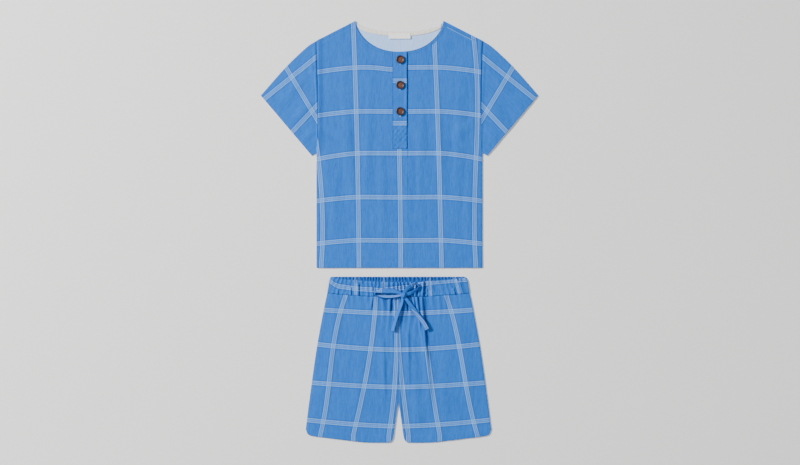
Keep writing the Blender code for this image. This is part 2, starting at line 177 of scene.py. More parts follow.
def smooth_route(marks, steps):
    """A Catmull-Rom curve through marks, `steps` points per span, as an array."""
    marks = np.asarray(marks, dtype=float)
    ends = np.vstack([2 * marks[0] - marks[1], marks, 2 * marks[-1] - marks[-2]])
    t = (np.arange(steps) / steps)[:, None]
    route = []
    for index in range(1, len(ends) - 2):
        a, b, c, d = ends[index - 1:index + 3]
        bend = (2 * a - 5 * b + 4 * c - d) * t ** 2 + (3 * b - a - 3 * c + d) * t ** 3
        route.append(0.5 * (2 * b + (c - a) * t + bend))
    return np.vstack(route + [marks[-1:]])


def along_route(route, shares):
    """Points at these shares of a route's length."""
    steps = np.linalg.norm(np.diff(route, axis=0), axis=1)
    lengths = np.concatenate([[0.0], np.cumsum(steps)])
    goals = np.asarray(shares) * lengths[-1]
    return np.stack([np.interp(goals, lengths, route[:, axis]) for axis in range(route.shape[1])], axis=-1)


def spread(length, step, start_rolled=True, end_rolled=True):
    """Shares from 0 to 1 along a length, about `step` apart and close together at rolled edges."""
    close = np.array([0.0, 0.12, 0.4, 0.9, 1.6]) * MM
    first = close if start_rolled else np.array([0.0])
    last = length - close[::-1] if end_rolled else np.array([length])
    count = max(2, round((last[0] - first[-1]) / step))
    middle = np.linspace(first[-1], last[0], count + 1)[1:-1]
    return np.concatenate([first, middle, last]) / length


def stripes(place, centres):
    """Distance to the nearest of several stripes, with the sign turned at every second one,
    so that it runs on smoothly half-way between two stripes."""
    offsets = place[None] - np.array([np.broadcast_to(centre, np.shape(place)) for centre in centres])
    nearest = np.argmin(np.abs(offsets), axis=0)
    found = np.take_along_axis(offsets, nearest[None], axis=0)[0]
    return np.clip(np.where(nearest % 2 == 0, found, -found), -STRIPE_REACH, STRIPE_REACH)


# ---- making cloth ----
def border_distance(x, y):
    """Distance from every point of a grid to the grid's own border."""
    px = np.concatenate([x[0], x[1:, -1], x[-1, -2::-1], x[-2:0:-1, 0]])
    py = np.concatenate([y[0], y[1:, -1], y[-1, -2::-1], y[-2:0:-1, 0]])
    run_x, run_y = np.roll(px, -1) - px, np.roll(py, -1) - py
    squared = np.maximum(run_x ** 2 + run_y ** 2, 1e-14)
    flat_x, flat_y = x.ravel(), y.ravel()
    nearest = np.full(flat_x.shape, np.inf)
    for ax, ay, rx, ry, length in zip(px, py, run_x, run_y, squared):
        share = np.clip(((flat_x - ax) * rx + (flat_y - ay) * ry) / length, 0.0, 1.0)
        gap = (flat_x - ax - share * rx) ** 2 + (flat_y - ay - share * ry) ** 2
        np.minimum(nearest, gap, out=nearest)
    return np.sqrt(nearest).reshape(x.shape)


def placed_in_scene(name, data):
    """A new object at the origin."""
    obj = bpy.data.objects.new(name, data)
    bpy.context.scene.collection.objects.link(obj)
    return obj


def mesh_object(name, points, faces, materials, slots=None, uvs=None):
    """A smooth-shaded mesh object at the origin, with a material index per face and UVs per point."""
    mesh = bpy.data.meshes.new(name)
    mesh.from_pydata(points.tolist(), [], faces.tolist())
    for finish in materials:
        mesh.materials.append(finish)
    if slots is not None:
        mesh.polygons.foreach_set("material_index", slots)
    mesh.polygons.foreach_set("use_smooth", np.ones(len(mesh.polygons), dtype=bool))
    corners = np.empty(len(mesh.loops), dtype=np.int32)
    mesh.loops.foreach_get("vertex_index", corners)
    for label, values in (uvs or {}).items():
        layer = mesh.uv_layers.new(name=label)
        layer.data.foreach_set("uv", values[corners].astype(np.float32).ravel())
    mesh.validate()
    return placed_in_scene(name, mesh)


def pair_uv(first, second, shape):
    """Two values per point, each spread over a grid's shape, as a UV list."""
    return np.stack([np.broadcast_to(first, shape), np.broadcast_to(second, shape)], axis=-1).reshape(-1, 2)


def grid_faces(rows, columns):
    """Quads of a grid of points, turned to face +Z when rows run up +Y and columns along +X."""
    corner = (np.arange(rows - 1)[:, None] * columns + np.arange(columns - 1)[None]).ravel()
    return np.stack([corner, corner + 1, corner + columns + 1, corner + columns], axis=-1)


def tube_faces(rings, sides):
    """Quads of a tube: rings of points, each closed around."""
    ring, step = np.divmod(np.arange((rings - 1) * sides), sides)
    here, after = ring * sides + step, ring * sides + (step + 1) % sides
    return np.stack([here, here + sides, after + sides, after], axis=-1)


def closed_up(obj, caps=(), merge=True):
    """Adds a piece's end faces, merges its doubled points, and turns its faces outwards."""
    work = bmesh.new()
    work.from_mesh(obj.data)
    work.verts.ensure_lookup_table()
    for corners in caps:
        work.faces.new([work.verts[corner] for corner in corners]).smooth = True
    if merge:
        bmesh.ops.remove_doubles(work, verts=work.verts, dist=1e-6)
    bmesh.ops.recalc_face_normals(work, faces=work.faces)
    work.to_mesh(obj.data)
    work.free()


def joined(name, objects):
    """Several mesh objects as one."""
    for other in bpy.context.selected_objects:
        other.select_set(False)
    for obj in objects:
        obj.select_set(True)
    bpy.context.view_layer.objects.active = objects[0]
    bpy.ops.object.join()
    made = bpy.context.view_layer.objects.active
    made.name = name
    made.data.name = name
    return made


def sunk_share(height, passes=6, across=True):
    """How deep each place of a grid lies below the places around it, 0 to 1: used as painted shade in a fold.
    """
    around = height
    for _ in range(passes):
        for axis in (0, 1)[:1 + across]:
            wide = np.pad(around, [(int(axis == k), int(axis == k)) for k in (0, 1)], mode="edge")
            low, middle, high = (wide.take(np.arange(k, k + height.shape[axis]), axis) for k in (0, 1, 2))
            around = (low + middle + high) / 3
    return np.clip((around - height) / FOLD_DEPTH, 0.0, 1.0)


def rolled_half(depth, wall=WALL, roll=ROLL):
    """Half a cloth's thickness at a distance from its rolled edge."""
    return wall / 2 * np.sqrt(1 - (1 - np.clip(depth / roll, 0.0, 1.0)) ** 2)


def cloth(name, x, y, middle, check, weave, upper, lower, wall=WALL, roll=ROLL, trim=None, shade=0.0):
    """A closed sheet on a grid of places: an upper and a lower face that meet in a rolled edge."""
    rows, columns = x.shape
    total = rows * columns
    half = rolled_half(border_distance(x, y), wall, roll)
    top, bottom = (np.stack([x, y, middle + way * half], axis=-1).reshape(-1, 3) for way in (1, -1))
    row, column = np.divmod(np.arange(total), columns)
    border = (row == 0) | (row == rows - 1) | (column == 0) | (column == columns - 1)
    below = np.where(border, np.arange(total), total + np.cumsum(~border) - 1)
    points = np.vstack([top, bottom[~border]])
    face = grid_faces(rows, columns)
    slots = np.repeat(np.array([0, 1], dtype=np.int32), len(face))
    # painted shade: places lying below their neighbours, plus the extra painted shade given, are darkened
    # through the fold UV
    painted_fold_shade = (np.clip(sunk_share(middle) + shade, 0.0, 1.0), 0.0)
    layers = {"check": check, "weave": weave, "trim": trim or (STRIPE_REACH, 1.0), "fold": painted_fold_shade}
    uvs = {}
    for label, pair in layers.items():
        values = pair_uv(*pair, x.shape)
        uvs[label] = np.vstack([values, values[~border]])
    return mesh_object(name, points, np.vstack([face, below[face][:, ::-1]]), [upper, lower], slots, uvs)


# ---- outlines of the top ----
def neck_y(x, depth):
    """Height of a scooped neckline, as deep as given in the middle."""
    reach = np.minimum(np.abs(x) / NECK_HALF, 1.0)
    return TOP_Y - depth * (1 - reach ** 2.2) ** 0.6


def top_edge(x, depth):
    """The upper edge of a body piece: neckline in the middle, shoulder on either side."""
    slope = SHOULDER_DROP / (BODY_HALF - NECK_HALF)
    shoulder = TOP_Y - slope * (np.abs(x) - NECK_HALF)
    return np.where(np.abs(x) < NECK_HALF, neck_y(x, depth), shoulder)


def scooped(x, y):
    """x with the armhole's shallow scoop taken off near the sides."""
    share = np.clip((y - UNDERARM_Y) / ARMHOLE_LENGTH, 0.0, 1.0)
    inward = ARMHOLE_SCOOP * np.sin(np.pi * share) * ease(0.70, 1.0, np.abs(x) / BODY_HALF)
    return x - np.sign(x) * inward


def body_columns(step, slot):
    """x of a body piece's columns, close together at the sides, neck corners and slot."""
    corner = np.concatenate([np.arange(0.0660, 0.0790, 0.9 * MM), np.arange(0.0790, 0.0812, 0.35 * MM)])
    columns = [BODY_HALF * (1 - 2 * spread(2 * BODY_HALF, step)), corner, -corner]
    if slot:
        for edge, outward in ((SLOT_LEFT, -1), (SLOT_RIGHT + OPEN_EDGE, 1)):
            columns.append(edge + outward * np.array([-1.2, -0.5, -0.12, 0.0, 0.15, 0.5, 1.0, 1.7, 2.6]) * MM)
    columns = np.sort(np.concatenate(columns))
    return columns[np.concatenate([[True], np.diff(columns) > 0.08 * MM])]


def body_grid(depth, step, slot):
    """A body piece's grid, from the hem up to the neckline and shoulders."""
    columns = body_columns(step, slot)
    high = top_edge(columns, depth)
    if slot:
        in_slot = (columns > SLOT_LEFT + 0.05 * MM) & (columns < SLOT_RIGHT + OPEN_EDGE - 0.05 * MM)
        high = np.where(in_slot, SLOT_BOTTOM, high)
    y = HEM_Y + (high[None] - HEM_Y) * spread(TOP_Y - HEM_Y, step)[:, None]
    return scooped(np.broadcast_to(columns[None], y.shape), y), y


def through(marks, y):
    """A lengthwise stripe's place at heights y: a smooth line through (height, place) marks in mm."""
    heights, places = np.array(marks).T * MM
    line = np.polynomial.Polynomial.fit(heights, places, 3)
    return line(np.clip(y, heights.min(), heights.max()))


BODY_STRIPES = [
    [(373, -235), (150, -225), (-55, -216)],
    [(373, -185), (223, -162), (163, -149.6), (77, -143.8), (-55, -142.3)],
    [(373, -84.2), (296, -81.1), (223, -78.9), (150, -77.5), (77, -75.3), (-55, -74)],
    [(373, -4), (223, -1.6), (146, -0.2), (-55, 2.4)],
    [(336, 64.1), (296, 66), (223, 69.1), (150, 71.8), (77, 73.3), (-55, 76.9)],
    [(373, 132.1), (351, 136.3), (287, 141.8), (223, 141.2), (77, 138.1), (-55, 139)],
    [(373, 205), (150, 212), (-55, 216)],
]
BODY_ROWS = [(409, 0), (300.4, 9), (220, 8), (143.8, 11.2), (63.4, 6.9), (-15.4, 6.2)]


def body_check(x, y):
    """The stripes of a body piece: the crosswise ones bow up in the middle, the lengthwise ones lean."""
    reach = np.abs(x) / BODY_HALF
    rows = []
    for height, drop in np.array(BODY_ROWS) * MM:
        rows.append(height - drop * reach ** 3.2 + 1.0 * MM * bell(reach - 0.5, 0.22))
    rows[1] = rows[1] - 3.6 * MM * bell(x + 0.012, 0.026) * (x < 0)
    return stripes(x, [through(marks, y) for marks in BODY_STRIPES]), stripes(y, rows)


def waist_share(x):
    return (x - SHORTS_X) / WAIST_HALF


def leg_half(y):
    """Half-width of the shorts at a height."""
    return np.interp(y, LEG_SIDE[:, 1], LEG_SIDE[:, 0])


LEG_HEIGHTS = (-116.9, -142.5, -215.6, -279.5, -325.2, -370.9)
LEG_STRIPES = {
    -1.0: [(4.6, 4.4, 4, 6.2, 12.2, 17.4), (41, 43.7, 50.6, 62.1, 72.2, 82.4),
           (95.7, 106.7, 118.9, 127, 134.3, 142.5)],
    1.0: [(-0.8, -0.6, 0.4, 6.6, 13.2, 17.9), (44, 45.5, 52.4, 59.7, 68, 75.3),
          (87, 96.3, 111.8, 122.8, 132.8, 143.8)],
}
LEG_ROWS = [(-77, 4), (-148.4, 6.2), (-215, 10), (-283, 8), (-354.5, 11.5)]
PLEAT = (39.5, -106, 52, -250, 8, 4.2)


def leg_check(x, y, side):
    """The stripes of one leg: three lengthwise ones that fan out, crosswise ones that sag inward."""
    out = side * (x - SHORTS_X)
    columns = [through(list(zip(LEG_HEIGHTS, places)), y) for places in LEG_STRIPES[side]]
    columns.append(columns[-1] + 0.075)
    reach = np.clip(out / leg_half(y), 0.0, 1.0)
    rows = [height + rise * reach ** 1.6 for height, rise in np.array(LEG_ROWS) * MM]
    return stripes(out, columns), stripes(y, rows)


def leg_trim(x, y, side):
    """Where a leg's lengthwise stripes show: the right leg's pleat swallows part of one."""
    shown = np.ones_like(x)
    if side > 0:
        top_x, top_y, foot_x, foot_y = np.array(PLEAT[:4]) * MM
        pleat_x = top_x + (foot_x - top_x) * (y - top_y) / (foot_y - top_y)
        swallowed = (np.abs(x - pleat_x) < 0.012) & (y > -0.2150 + 1.6 * (x - pleat_x))
        in_seam = (x - SHORTS_X < 2.1 * MM) & (y > -0.268)
        shown = 1.0 - (swallowed | in_seam)
    return STRIPE_REACH, shown


def waistband_check(x, y, front):
    """One stripe along the gathered waistband, and a few across it."""
    line = -0.2060
    if front:
        shares = [-1.0, -0.96, -0.92, -0.86, -0.60, -0.25, 0.10, 0.47, 0.94, 1.0]
        heights = [-89, -92.5, -96.2, -99.2, -103.6, -106.4, -101, -92.1, -87, -86.8]
        line = np.interp(waist_share(x), shares, np.array(heights) * MM)
    columns = [SHORTS_X + place * MM for place in (-142, -78.2, -27, 56.6, 106.2, 150)]
    slanted = x + 0.32 * (y - WAIST_Y + 0.014) * ease(0.3, 0.8, waist_share(x))
    gathered = np.clip(stripes(slanted, columns) * 1.4, -STRIPE_REACH, STRIPE_REACH)
    return gathered, stripes(y, [line + 0.090, line, line - 0.090])


# ---- relief of the upper layer ----
TOP_FOLDS = [
    (-108, 322, -88, 60, 9, 1.1), (-52, 300, -66, 20, 6, 0.8), (-36, 180, -30, -50, 7, 0.8),
    (40, 250, 34, 10, 7, 0.8), (64, 300, 78, 60, 8, 1.0), (112, 310, 100, 20, 9, 1.1),
    (10, 120, 16, -50, 8, 0.7), (-118, 120, -124, -50, 8, 0.8), (128, 140, 122, -50, 8, 0.8),
    (-150, 200, -80, 160, 9, 0.7), (150, 215, 85, 165, 9, 0.7),
]
LEG_FOLDS = [
    (-70, -190, -86, -378, 9, 0.9), (-115, -120, -138, -330, 9, 0.9), (74, -210, 86, -378, 9, 0.9),
    (102, -120, 130, -330, 9, 1.0), (24, -190, 33, -370, 7, 0.7), (-10, -290, -70, -265, 8, 0.9),
    (6, -290, 68, -268, 8, 0.9),
]
LEG_CREASES = [
    PLEAT, (31.5, -108, 40.5, -198, 4, 3.2), (-15, -114, -18, -152, 4, 3.0),
    (25, -112, 29, -150, 3.5, 3.6), (-47, -110, -53, -150, 4.5, 2.0), (12, -116, 14, -152, 3.5, 2.6),
    (49, -205, 59, -345, 11, 1.5), (-29, -190, -26, -330, 10, 1.1), (16, -175, 18, -300, 8, 1.1),
]
WAIST_CREASES = [
    (-74.8, -93, -74.2, -126, 3.5, 2.6), (-88.8, -100, -88, -126, 3, 2.0),
    (-112.2, -103, -111.6, -124, 3, 0.9), (-49, -98, -48, -125, 3.5, 2.0),
    (29, -90, 31, -125, 4, 2.6), (44, -84, 42, -128, 4.5, 3.2),
    (99, -101, 103, -126, 3.5, 2.2), (109, -88, 118, -116, 3.5, 1.8),
]
SLEEVE_FOLDS = [(157, 300, 225, 225, 9, 1.2), (156, 245, 205, 185, 9, 1.3), (155, 190, 180, 160, 6, 0.9)]
SLEEVE_CREASE = (158.5, 304, 148, 256, 6, 1.5)


def crinkle(x, y, seed):
    """The soft unevenness of crinkled double gauze, always above zero."""
    broad = 0.5 + 0.5 * ripple(x, y, seed, 0.045, 0.140)
    fine = 0.5 + 0.5 * ripple(x, y, seed + 1, 0.011, 0.070)
    return 0.45 * MM * np.clip(broad, 0, 1.3) + 0.16 * MM * np.clip(fine, 0, 1.3)


def puckered(along, seed, length):
    """Seeded puckers along a seam, about 0 to 1."""
    return 0.5 + 0.5 * ripple(along, along * 0, seed, length, 1.0)


def hem_relief(depth, along, width, seed):
    """A turned hem: a thicker strip at the edge, with a stitched and puckered line at its top."""
    thick = 0.25 * MM * (1 - ease(width - 1.0 * MM, width + 1.0 * MM, depth))
    sewn = 0.28 * MM * bell(depth - width + 1.6 * MM, 1.2 * MM)
    return thick - sewn * (0.45 + 0.75 * puckered(along, seed, 0.009))


def neck_gap(x, y, depth):
    """Distance below a scooped neckline, near enough for relief and stitching."""
    samples = np.linspace(-NECK_HALF, NECK_HALF, 121)
    gap = np.full(np.shape(x), np.inf)
    for px, py in zip(samples, neck_y(samples, depth)):
        gap = np.minimum(gap, np.hypot(x - px, y - py))
    return gap


def top_relief(x, y):
    """Height of the middle of the top's front."""
    folds = sum(fold(x, y, line) for line in TOP_FOLDS)
    side = BODY_HALF - np.abs(x)
    from_band = np.maximum(SLOT_LEFT - x, x - SLOT_RIGHT)
    flat_by_band = np.where(y > SLOT_BOTTOM - 0.02, ease(0.0, 0.018, from_band), 1.0)
    body = (folds + crinkle(x, y, 11)) * ease(0.0, 0.018, side) * (0.25 + 0.75 * flat_by_band)
    armhole = (y > UNDERARM_Y - 0.012) * ease(UNDERARM_Y - 0.012, UNDERARM_Y + 0.012, y)
    edge_up = 0.75 * MM * (1 - ease(2.6 * MM, 6.0 * MM, side)) + 1.1 * MM * bell(side - 5.0 * MM, 3.0 * MM)
    sewn = 0.22 * MM * bell(side - ARMHOLE_STITCH, 1.4 * MM) * puckered(y, 17, 0.012)
    edge = -0.35 * MM * (1 - ease(0.0, 4.0 * MM, side)) * (1 - armhole)
    hem = hem_relief(y - HEM_Y, x, HEM_WIDTH, 19)
    neck = neck_gap(x, y, FRONT_NECK_DEPTH)
    collar = 0.25 * MM * (1 - ease(5.0 * MM, 7.0 * MM, neck)) - 0.30 * MM * bell(neck - NECK_STITCH, 1.1 * MM)
    shoulder = top_edge(x, FRONT_NECK_DEPTH) - y
    ridge = 0.3 * MM * bell(shoulder - 9.0 * MM, 3.0 * MM)
    ridge = ridge - 0.35 * MM * bell(shoulder - SHOULDER_STITCH, 1.0 * MM)
    ridge = np.where(np.abs(x) > NECK_HALF - 2.0 * MM, ridge, 0.0) * ease(0.0, 0.020, side)
    return FRONT_MIDDLE + body + armhole * (edge_up - sewn) + edge + hem + collar + ridge


def placket_relief(x, y):
    """Height of the middle of the upper placket band, which lies over the slot."""
    across = (x - PLACKET_X) / (SLOT_RIGHT - SLOT_LEFT) * 2
    lifted = 1.0 * MM * ease(0.35, 1.0, across) * ease(BOX_TOP - 0.01, BOX_TOP + 0.02, y)
    sewn = -0.35 * MM * (1 - ease(-1.05, -0.85, across))
    quilted = 0.35 * MM * ripple(x, y, 23, 0.010, 0.012) * ease(0.0, 0.006, BOX_TOP - y) * (y < BOX_TOP)
    wave = 0.22 * MM * ripple(x, y, 29, 0.030, 0.045)
    foot = -0.5 * MM * (1 - ease(0.0, 4.0 * MM, y - PLACKET_BOTTOM))
    return PLACKET_MIDDLE + lifted + sewn + quilted + wave + foot


def gathers(x, y):
    """Fine folds that run down from the waist seam and die out, strongest near the bow."""
    across = x - SHORTS_X
    centre = bell(across - 0.008, 0.062)
    phase = 2 * np.pi * across / 0.0115 + 2.2 * np.sin(across * 61.0) + 1.4 * np.sin(y * 55.0)
    ribs = (0.5 + 0.5 * np.cos(phase)) ** 1.6
    reach = 0.012 + 0.030 * centre + 0.008 * ripple(x, x * 0, 31, 0.040, 1.0)
    return (0.7 + 2.2 * centre) * MM * ribs * np.exp(-np.clip(SEAM_SIDE_Y - y, 0, None) / reach)


def leg_relief(x, y, side):
    """Height of the middle of a front leg."""
    out = side * (x - SHORTS_X)
    edge = leg_half(y) - out
    folds = sum(fold(x, y, line) for line in LEG_FOLDS) + crinkle(x, y, 41 if side > 0 else 43)
    creases = sum(crease(x, y, line) for line in LEG_CREASES)
    centre = 0.5 * MM * bell(out - 2.5 * MM, 3.0 * MM) * (side > 0)
    centre = centre - 0.3 * MM * bell(out - FLY_STITCH, 1.2 * MM)
    rolled = -0.35 * MM * (1 - ease(0.0, 4.0 * MM, edge))
    hem = hem_relief(y - hem_line(out) - HEM_PEEK, x, HEM_WIDTH, 47)
    puckers = np.clip(0.55 + 0.65 * ripple(x, x * 0, 53, 0.030, 1.0), 0.1, 1.5)
    seam = -0.6 * MM * (1 - ease(0.0, 3.0 * MM, waist_seam(x) - y)) * puckers
    sewn = gathers(x, y) + centre + rolled + hem + seam
    return FRONT_MIDDLE + folds * ease(0.0, 0.016, edge) + creases + sewn


def waist_seam(x):
    """Height in the plane of the seam between the front legs and the waistband."""
    reach = np.clip(np.abs(x - SHORTS_X) / WAIST_SEAM_HALF, 0.0, 1.0)
    return SEAM_SIDE_Y + (SEAM_MIDDLE_Y - SEAM_SIDE_Y) * (1 - reach ** 2)


def hem_line(out):
    """The back hem of a leg, by distance from the centre seam."""
    outs = np.array([0, 24, 64, 115, 157, 169.2]) * MM
    return np.interp(out, outs, [SHORTS_BOTTOM, SHORTS_BOTTOM, -0.3847, -0.3785, -0.3726, -0.3690])


def waistband_relief(x, y, front):
    """Height of the middle of the ruched waistband, whose two halves stand a little apart at the rim."""
    share = waist_share(x)
    down = y - WAIST_Y
    rim = rim_line(x)
    pitch, start = (0.0078, 0.0) if front else (0.0062, 2.0)
    phase = 2 * np.pi * x / pitch + 2.4 * np.sin(x * 47.0 + start) + 1.3 * np.sin(x * 131.0)
    phase = phase + 85.0 * down * np.sin(x * 83.0 + 1.0) + 0.9 * ripple(x, y, 107, 0.020, 0.012)
    ribs = 1.9 * MM * (0.5 + 0.5 * np.cos(phase + 330.0 * down * share ** 3)) ** 1.5
    ribs = ribs * ease(0.0, 0.06, 1 - np.abs(share))
    opened = 1 - np.clip(np.abs(share), 0.0, 1.0) ** 2
    if not front:
        above_rim = np.clip((y - rim) / (WAIST_Y - rim + 1e-6), 0.0, 1.0)
        ribs = ribs * (0.35 + 0.65 * above_rim) * ease(-3.0 * MM, 0.0, y - rim)
        return BACK_MIDDLE + ribs + 3.0 * MM * opened * above_rim ** 2
    below, above_seam = rim - y, y - waist_seam(x)
    at_rim = np.exp(-np.clip(below, 0, None) / 0.0075)
    at_seam = np.exp(-np.clip(above_seam, 0, None) / 0.0040)
    uneven = np.clip(0.75 + 0.55 * ripple(x, y, 109, 0.034, 0.060), 0.15, 1.4)
    centre = bell(x - SHORTS_X - 0.004, 0.055)
    strength = np.maximum((0.14 + 0.95 * at_rim + 0.50 * at_seam) * uneven, 0.25 + 0.85 * centre)
    casing = 0.55 * MM * ease(0.0, 2.5 * MM, below) * ease(0.0, 2.0 * MM, above_seam)
    creases = sum(crease(x, y, line) for line in WAIST_CREASES)
    return FRONT_MIDDLE + ribs * strength + casing + 1.6 * MM * opened * at_rim + creases


def rim_line(x):
    """The front waistband's upper rim, which dips in the middle."""
    share = np.clip(np.abs(waist_share(x)), 0.0, 1.0)
    return WAIST_Y - 1.4 * MM - WAIST_DIP * (1 - share ** 2) - waist_corner(share)


def waist_corner(share):
    """How far the waistband's rounded upper corner lies below its rim."""
    reach = np.clip((np.abs(share) - 0.955) / 0.045, 0.0, 1.0)
    return 7.0 * MM * (1 - np.sqrt(1 - reach ** 2))


# ---- materials ----
class Signal:
    """A value in a material: arithmetic on it adds Math nodes."""

    def __init__(self, finish, socket):
        self.finish = finish
        self.socket = socket

    def math(self, operation, *others):
        return self.finish.node("ShaderNodeMath", {"operation": operation}, dict(enumerate((self, *others))))

    def __add__(self, other):
        return self.math("ADD", other)

    def __sub__(self, other):
        return self.math("SUBTRACT", other)

    def __mul__(self, other):
        return self.math("MULTIPLY", other)

    def __rsub__(self, other):
        return self.finish.node("ShaderNodeMath", {"operation": "SUBTRACT"}, {0: other, 1: self})

    __radd__ = __add__
    __rmul__ = __mul__

    def size(self):
        return self.math("ABSOLUTE")

    def most(self, other):
        return self.math("MAXIMUM", other)

    def sine(self):
        return self.math("SINE")

    def between(self, start, end, low=0.0, high=1.0):
        """This value's smooth share of the way from start to end, as a number from low to high."""
        sockets = {"Value": self, "From Min": start, "From Max": end, "To Min": low, "To Max": high}
        return self.finish.node("ShaderNodeMapRange", {"interpolation_type": "SMOOTHSTEP"}, sockets)


class Finish:
    """A material and the nodes in it."""

    def __init__(self, name, **fixed):
        self.material = bpy.data.materials.new(name)
        self.material.use_nodes = True
        self.tree = self.material.node_tree
        self.shader = self.tree.nodes["Principled BSDF"]
        for label, value in fixed.items():
            self.shader.inputs[label.replace("_", " ")].default_value = value

    def node(self, kind, settings=None, sockets=None, out=0):
        """A node of any type: its settings first, then its sockets' values or links."""
        made = self.tree.nodes.new(kind)
        for label, value in (settings or {}).items():
            if label == "stops":
                for _ in range(len(value) - 2):
                    made.color_ramp.elements.new(0.5)
                for element, (place, colour) in zip(made.color_ramp.elements, value):
                    element.position = place
                    element.color = colour
            else:
                setattr(made, label, value)
        for label, value in (sockets or {}).items():
            if isinstance(value, Signal):
                self.tree.links.new(value.socket, made.inputs[label])
            else:
                made.inputs[label].default_value = value
        return Signal(self, made.outputs[out])

    def mix(self, share, first, second, blend="MIX"):
        settings = {"data_type": "RGBA", "blend_type": blend, "clamp_factor": True}
        return self.node("ShaderNodeMix", settings, {0: share, 6: first, 7: second}, out=2)

    def uv(self, label):
        return self.node("ShaderNodeUVMap", {"uv_map": label})

    def split(self, vector):
        made = self.tree.nodes.new("ShaderNodeSeparateXYZ")
        self.tree.links.new(vector.socket, made.inputs[0])
        return Signal(self, made.outputs[0]), Signal(self, made.outputs[1]), Signal(self, made.outputs[2])

    def noise(self, vector, scale, detail=3.0, stretch=(1.0, 1.0, 1.0), roughness=0.5):
        placed = self.node("ShaderNodeMapping", {}, {"Vector": vector, "Scale": stretch})
        sockets = {"Vector": placed, "Scale": scale, "Detail": detail, "Roughness": roughness}
        return self.node("ShaderNodeTexNoise", {}, sockets)

    def bump(self, height, distance, strength=1.0, under=None):
        sockets = {"Strength": strength, "Distance": distance, "Height": height}
        if under is not None:
            sockets["Normal"] = under
        return self.node("ShaderNodeBump", {}, sockets)

    def set(self, label, value):
        if isinstance(value, Signal):
            self.tree.links.new(value.socket, self.shader.inputs[label])
        else:
            self.shader.inputs[label].default_value = value


def srgb(red, green, blue):
    """A colour given as it looks, 0 to 255, as the linear colour that a shader takes."""
    def linear(value):
        share = value / 255
        return share / 12.92 if share <= 0.04045 else ((share + 0.055) / 1.055) ** 2.4
    return (linear(red), linear(green), linear(blue), 1.0)


THREAD = 0.55 * MM
STRIPE_LINE = 0.48 * MM
STRIPE_STEP = 3.15 * MM


def gauze(name, ground, shade, pale, check_strength, crinkle_distance=0.5 * MM, trimmed=False, shaded=False):
    """Crinkled double gauze with a woven windowpane check of three fine lines each way."""
    finish = Finish(name, Roughness=0.86, Sheen_Weight=0.08, Sheen_Roughness=0.5)
    finish.shader.inputs["Specular IOR Level"].default_value = 0.2
    weave = finish.uv("weave")
    u, v, _ = finish.split(weave)
    check_u, check_v, _ = finish.split(finish.uv("check"))

    slub = finish.noise(weave, 1.0, 2.0, (1100.0, 110.0, 1.0))
    cross_slub = finish.noise(weave, 1.0, 2.0, (90.0, 900.0, 1.0))
    cloud = finish.noise(weave, 1.0, 3.0, (30.0, 24.0, 1.0))
    crinkles = finish.noise(weave, 1.0, 3.0, (430.0, 60.0, 1.0), 0.6)
    pockets = finish.noise(weave, 1.0, 2.0, (150.0, 90.0, 1.0))
    warp = (u * (2 * math.pi / THREAD)).sine()
    weft = (v * (2 * math.pi / THREAD)).sine()
    threads = warp * weft

    def band(distance):
        """How much of the pale yarn shows at a distance from a stripe's middle."""
        away = distance.size()
        ground_share = away.between(3.8 * MM, 4.5 * MM, 1.0, 0.0) * 0.15
        middle = away.between(STRIPE_LINE * 0.7, STRIPE_LINE * 1.6, 1.0, 0.0)
        outer = (away - STRIPE_STEP).size().between(STRIPE_LINE * 0.7, STRIPE_LINE * 1.6, 1.0, 0.0)
        return ground_share.most((middle * 0.75).most(outer) * 0.58)

    def stripe_edge_shade(distance):
        """Painted shade on the ground beside a stripe: a narrow darker line, 0 to 1."""
        away = distance.size()
        return away.between(4.0 * MM, 4.6 * MM) * away.between(5.2 * MM, 6.8 * MM, 1.0, 0.0)

    yarn = threads.between(-1.0, 1.0, 0.84, 1.0)
    down = band(check_u) * yarn * check_strength
    across = band(check_v) * yarn * check_strength
    if trimmed:
        inside, shown, _ = finish.split(finish.uv("trim"))
        uncut = inside.between(6.0 * MM, 6.8 * MM)
        down = down * shown * uncut
        across = across * uncut
    both = 1.0 - (1.0 - down) * (1.0 - across)

    # the slub, cross-slub and cloud terms are the yarn's own uneven colour; the crinkle term darkens the
    # crinkles' low places, painted shade
    tone = 0.22 + crinkles.between(0.28, 0.72, 0.0, 0.30) + slub.between(0.30, 0.70, 0.0, 0.14)
    tone = tone + cross_slub.between(0.3, 0.7, 0.0, 0.10) + cloud.between(0.3, 0.7, 0.0, 0.14)
    # painted shade: the ground is darkened in a narrow line beside each stripe
    beside = stripe_edge_shade(check_u).most(stripe_edge_shade(check_v)) * check_strength
    base = finish.mix(tone * (1.0 - beside * 0.75), shade, ground)
    yarns = finish.mix(both, base, pale)
    # painted shade: where the fold UV says a place lies in a fold, a seam or at a shaded edge, its colour is
    # darkened towards deep blue
    if trimmed or shaded:
        sunk, _, _ = finish.split(finish.uv("fold"))
        yarns = finish.mix(sunk * 0.85, yarns, finish.mix(1.0, yarns, (0.16, 0.20, 0.32, 1.0), "MULTIPLY"))
    finish.set("Base Color", yarns)
    finish.set("Roughness", crinkles.between(0.3, 0.7, 0.92, 0.80))
    folds = finish.bump(crinkles * 0.8 + pockets * 0.8, crinkle_distance)
    finish.set("Normal", finish.bump(threads * 0.5 + slub * 0.6, 0.05 * MM, 0.5, folds))
    return finish.material


def twill_tape(name, colour, dark):
    """Unbleached woven tape with a fine diagonal rib."""
    finish = Finish(name, Roughness=0.82, Sheen_Weight=0.15)
    weave = finish.uv("weave")
    u, v, _ = finish.split(weave)
    rib = ((u + v) * (2 * math.pi / (1.1 * MM))).sine()
    mottle = finish.noise(weave, 1.0, 3.0, (300.0, 300.0, 1.0))
    share = rib.between(-1.0, 1.0, 0.0, 0.35) + mottle.between(0.3, 0.7, 0.0, 0.5)
    finish.set("Base Color", finish.mix(share, dark, colour))
    finish.set("Normal", finish.bump(rib * 0.6 + mottle, 0.12 * MM, 0.8))
    return finish.material


